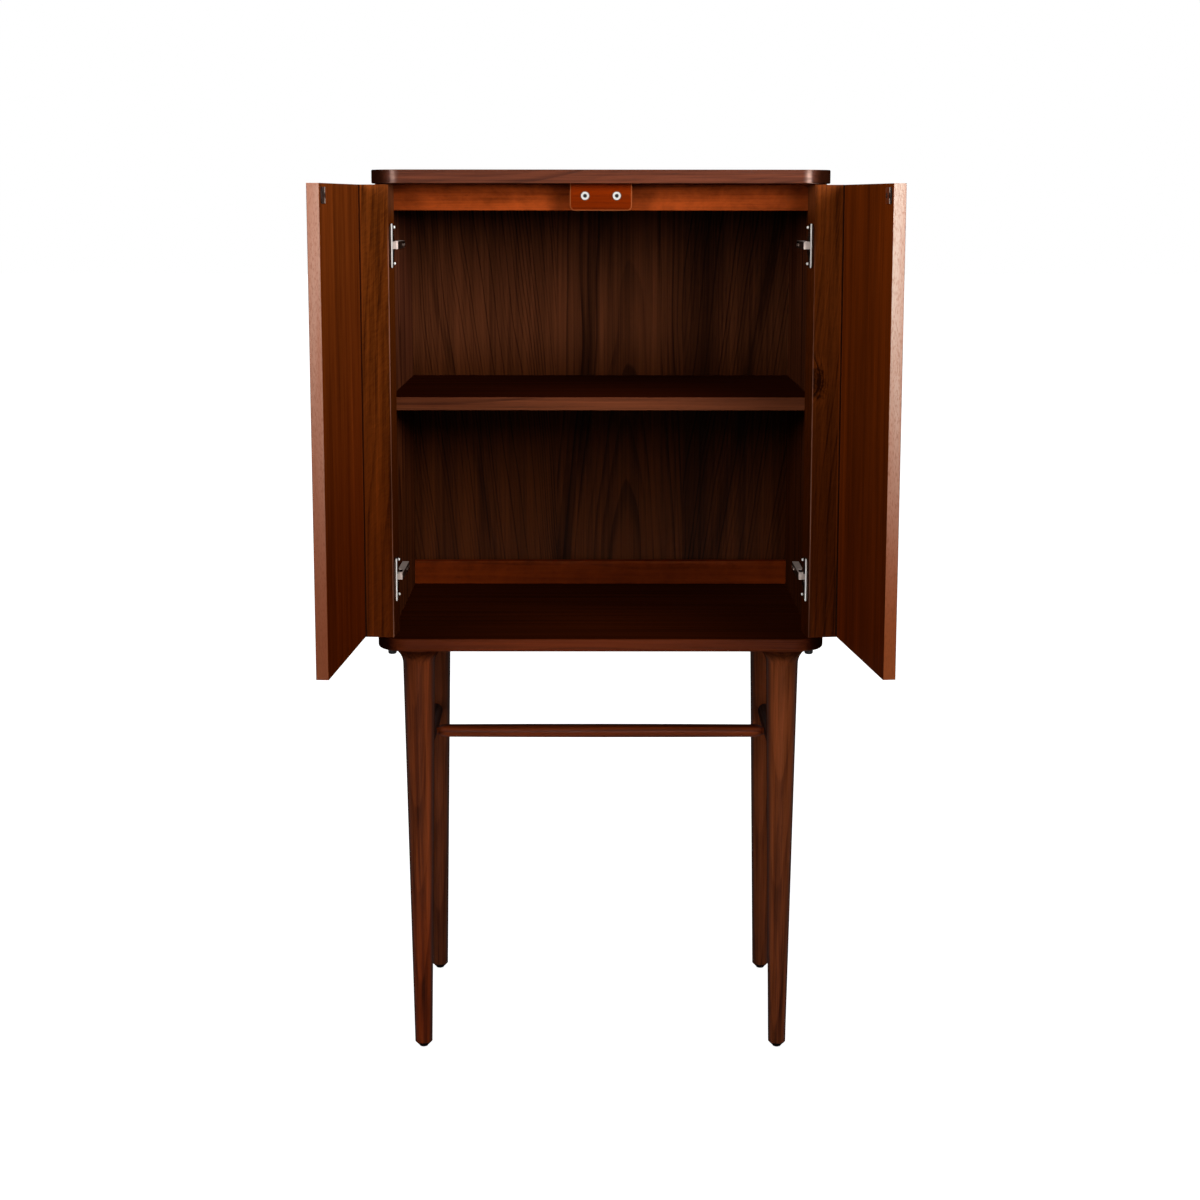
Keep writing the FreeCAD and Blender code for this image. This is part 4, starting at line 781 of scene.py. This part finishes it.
# Metal and plastic
CATCH_SPACING = 42 * MM
CATCH_FACE = (4.8 * MM, 5.6 * MM)
SCREW_RECESS = (2.0 * MM, 3.0 * MM)
STRIKES = {"left": (261 * MM, (92, 40, 9)), "right": (274 * MM, (78, 30, 4))}
bright_nickel = metal("bright_nickel", (248, 246, 242), (234, 230, 224), 0.3, metallic=0.6)
screw_steel = metal("screw_steel", (150, 130, 118), (70, 56, 48), 0.26)
plate_steel = metal("plate_steel", (74, 60, 52), (40, 30, 26), 0.24)
nickel_dull = metal("nickel_screws", (200, 194, 186), (144, 138, 130), 0.3, scale=1400.0)
dark_steel = metal("dark_steel", (50, 42, 36), (28, 22, 18), 0.4)
black_steel = metal("black_steel", (16, 15, 15), (34, 32, 30), 0.4, metallic=0.4)
black_plastic = plastic("black_plastic", (12, 12, 12), (46, 42, 40))
cup_steels = {}
for side in SIDES:
    # Hinges: the cups' faces that look back and the arms' faces that look to the middle take
    # painted shade
    cup_steels[side] = flange_metal(f"{side}_cup_steel", (92, 66, 56), (46, 30, 24),
                                    tuple(door_direction(side, 0, 1)), rough=0.16)
    arm_steel = flange_metal(f"{side}_arm_steel", (192, 174, 164), (30, 18, 12),
                             (-SIDES[side], 0, 0), rough=0.5, metallic=0.2)
    for level in LEVELS:
        dress(arm_steel, f"{side}_{level}_hinge_arm")
        dress(cup_steels[side], f"{side}_{level}_hinge_cup")
        dress(plate_steel, f"{side}_{level}_mounting_plate")
    dress(nickel_dull, f"{side}_cup_screws", f"{side}_plate_screws", f"{side}_hinge_pins")
    dress(screw_steel, f"{side}_arm_screws")
    dress(strike_metal(f"{side}_strike_steel", side, *STRIKES[side]), f"{side}_strike_plate")
    dress(dark_steel, f"{side}_strike_screws")
    # The catches: a pale face whose brown rim is painted shade
    dress(ring_metal(f"{side}_catch_steel", (80, 42, 22), (172, 170, 167), CATCH_FACE),
          f"{side}_magnetic_catch")
dress(nickel_dull, "shelf_pins")
dress(black_steel, "side_bolts")
# The catch screws: their dark middles are painted shade in the recess
dress(ring_metal("catch_screw_steel", (160, 158, 154), (18, 15, 16), SCREW_RECESS), "catch_screws")
dress(dark_steel, "leg_hanger_bolts")
dress(black_plastic, "leg_glides", "corner_studs")

# Parts of the hinges too fine for the model: a turned-up rim along each flange, domed screw heads.
# Outlines in plan and radii with heights are in millimetres, on the closed door from its pins
BAR_TIP, BAR_TIP_SHARE = 0.6 * MM, 0.6
FLANGE_TOP = 14.7 * MM
SCREW_PLACE, SCREW_SPREAD, SCREW_STEPS = 8 * MM, 24 * MM, 20
FOOT = [(29.9, 14.6), (29.9, 16.1), (31.6, 16.1), (31.6, 14.6)]
BEAD = [(29.4, 16.0), (29.4, 17.2), (29.8, 17.5), (31.6, 17.5), (32.0, 17.2), (32.0, 16.0)]
SCREW_PROFILE = [(1.9, 0.0), (1.9, 2.0), (1.6, 2.6), (1.1, 2.9), (0.6, 2.9), (0.5, 2.4), (0.2, 2.3)]


def door_point(side, x, y, z):
    """A point on the closed door, from its pins, as it stands open."""
    point = pin_line[side] + door_direction(side, x, y)
    return (point.x, point.y, z)


def piece(name, side, rings, material):
    """A closed body on a door, skinned over rings of as many points each."""
    count = len(rings[0])
    corners = [corner for ring in rings for corner in ring]
    last = len(corners) - count
    faces = []
    for low in range(0, last, count):
        for i in range(count):
            j = (i + 1) % count
            faces.append((low + i, low + j, low + count + j, low + count + i))
    faces.append(tuple(range(count)))
    faces.append(tuple(range(last, len(corners))))
    mesh = bpy.data.meshes.new(name)
    mesh.from_pydata(corners, [], faces)
    shape = bmesh.new()
    shape.from_mesh(mesh)
    bmesh.ops.recalc_face_normals(shape, faces=shape.faces)
    shape.to_mesh(mesh)
    shape.free()
    mesh.materials.append(material)
    part = bpy.data.objects.new(name, mesh)
    bpy.context.scene.collection.objects.link(part)
    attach(part, door_body[side])
    return part


def screw_head(name, side, rise):
    """A body turned about a line square to the flange."""
    rings = []
    for radius, height in SCREW_PROFILE:
        ring = []
        for i in range(SCREW_STEPS):
            angle = 2 * math.pi * i / SCREW_STEPS
            ring.append(door_point(side, SCREW_PLACE + radius * MM * math.cos(angle),
                                   FLANGE_TOP + height * MM, rise + radius * MM * math.sin(angle)))
        rings.append(ring)
    part = piece(name, side, rings, bright_nickel)
    for polygon in part.data.polygons:
        polygon.use_smooth = len(polygon.vertices) == 4


def bar(name, side, rise, half, outline, material):
    """An upright bar on the flange, its ends drawn in."""
    centre_x = sum(x for x, y in outline) / len(outline)
    centre_y = sum(y for x, y in outline) / len(outline)
    rings = []
    for height, share in ((-half, BAR_TIP_SHARE), (BAR_TIP - half, 1.0), (half - BAR_TIP, 1.0),
                          (half, BAR_TIP_SHARE)):
        rings.append([door_point(side, (centre_x + (x - centre_x) * share) * MM,
                                 (centre_y + (y - centre_y) * share) * MM, rise + height)
                      for x, y in outline])
    piece(name, side, rings, material)


for side in SIDES:
    for level in LEVELS:
        low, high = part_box(f"{side}_{level}_hinge_cup")
        rise = (low.z + high.z) / 2
        half = (high.z - low.z) / 2
        bar(f"{side}_{level}_flange_foot", side, rise, half, FOOT, cup_steels[side])
        bar(f"{side}_{level}_flange_bead", side, rise, half, BEAD, bright_nickel)
        screw_head(f"{side}_{level}_under_screw_head", side, rise - SCREW_SPREAD)
        screw_head(f"{side}_{level}_over_screw_head", side, rise + SCREW_SPREAD)

# Floor: it carries the object's shadow, glows a little less there, and is plain white to the camera
# beyond it
FLOOR_REACH = 30.0
FLOOR_CORNERS = ((-1, -1), (1, -1), (1, 1), (-1, 1))
FLOOR_NOISE = 6.0
FLOOR_GREYS = ((0.80, 0.80, 0.80, 1.0), (0.83, 0.83, 0.83, 1.0))
SHADOW_REACH = (0.55, 1.3)
GLOW_NEAR, GLOW_FAR = 0.9, 1.0


def floor_material():
    g = Material("studio_floor")
    place = g.place()
    speckle = g.ramp(g.noise(place, FLOOR_NOISE, detail=3.0), -0.3, 0.3)
    tint = g.mix(speckle, *FLOOR_GREYS)
    far = g.ramp(g.measure("LENGTH", place), *SHADOW_REACH, GLOW_NEAR, GLOW_FAR)
    glow = g.add("ShaderNodeEmission", {"Color": WHITE, "Strength": g.times(g.seen(), far)})
    diffuse = g.add("ShaderNodeBsdfDiffuse", {"Color": tint})
    return g.finish(g.add("ShaderNodeAddShader", {0: diffuse.outputs[0], 1: glow.outputs[0]}))


mesh = bpy.data.meshes.new("studio_floor")
mesh.from_pydata([(x * FLOOR_REACH, y * FLOOR_REACH, 0) for x, y in FLOOR_CORNERS], [],
                 [(0, 1, 2, 3)])
mesh.materials.append(floor_material())
floor = bpy.data.objects.new("studio_floor", mesh)
bpy.context.scene.collection.objects.link(floor)

# World: a dim pale room, darker to the sides and lighter behind. It is plain white where the camera
# or a reflection sees it
ROOM_LIGHT = 0.13
SIDE_LIGHT = 0.02
REAR_LIGHT = 0.5
TO_SIDES = (0.35, 0.85)
TO_REAR = (0.1, 0.5)
bpy.context.scene.world = bpy.data.worlds.new("studio")
sky = Graph(bpy.context.scene.world, "ShaderNodeOutputWorld")
looking = sky.split(sky.add("ShaderNodeTexCoord").outputs["Generated"])
glow = sky.ramp(sky.size(looking[0]), *TO_SIDES, ROOM_LIGHT, SIDE_LIGHT)
glow = sky.math("MAXIMUM", glow, sky.ramp(looking[1], *TO_REAR, 0.0, REAR_LIGHT))
room = sky.add("ShaderNodeBackground", {"Color": WHITE, "Strength": glow})
white = sky.add("ShaderNodeBackground", {"Color": WHITE, "Strength": 1.0})
sky.finish(sky.add("ShaderNodeMixShader", {0: sky.seen(), 1: room.outputs[0], 2: white.outputs[0]}))


def softbox(name, at, aim, width, height, power, spread):
    """A lamp that looks from one place to another, with its watts and its beam in degrees."""
    lamp = bpy.data.lights.new(name, "AREA")
    lamp.shape = "RECTANGLE"
    lamp.size = width
    lamp.size_y = height
    lamp.energy = power
    lamp.spread = math.radians(spread)
    holder = bpy.data.objects.new(name, lamp)
    bpy.context.scene.collection.objects.link(holder)
    holder.location = at
    holder.rotation_euler = (Vector(aim) - Vector(at)).to_track_quat("-Z", "Y").to_euler()


softbox("key_right", (1.25, -1.75, 1.62), (-0.1, 0.0, 1.52), 0.9, 0.8, 13.8, 62)
softbox("fill_left", (-1.25, -1.75, 1.62), (0.1, 0.0, 1.48), 0.8, 0.8, 9.2, 70)
softbox("front_low", (0.1, -3.1, 0.28), (0.0, 0.1, 0.19), 1.0, 0.25, 2.1, 20)

# Camera, fitted to the photograph's edges
PHOTO_SIDE = 1200
FOCAL_PIXELS = 2013.58
PRINCIPAL_ROW = 500.0
CAMERA_PLACE = (-0.00314, -2.75905, 1.19009)
CAMERA_YAW, CAMERA_PITCH, CAMERA_ROLL = 0.00082, 0.14774, 0.00067
SENSOR = 36.0
camera = bpy.data.cameras.new("camera")
camera.sensor_width = SENSOR
camera.lens = FOCAL_PIXELS * SENSOR / PHOTO_SIDE
camera.shift_y = (PRINCIPAL_ROW - PHOTO_SIDE / 2) / PHOTO_SIDE
camera.clip_end = 100.0
holder = bpy.data.objects.new("camera", camera)
bpy.context.scene.collection.objects.link(holder)
level_view = Matrix.Rotation(math.pi / 2, 4, "X")
turned = Matrix.Rotation(-CAMERA_YAW, 4, "Z") @ Matrix.Rotation(-CAMERA_PITCH, 4, "X") @ level_view
holder.matrix_world = (Matrix.Translation(CAMERA_PLACE) @ turned
                       @ Matrix.Rotation(CAMERA_ROLL, 4, "Z"))
bpy.context.scene.camera = holder
bpy.context.scene.view_settings.view_transform = "Standard"
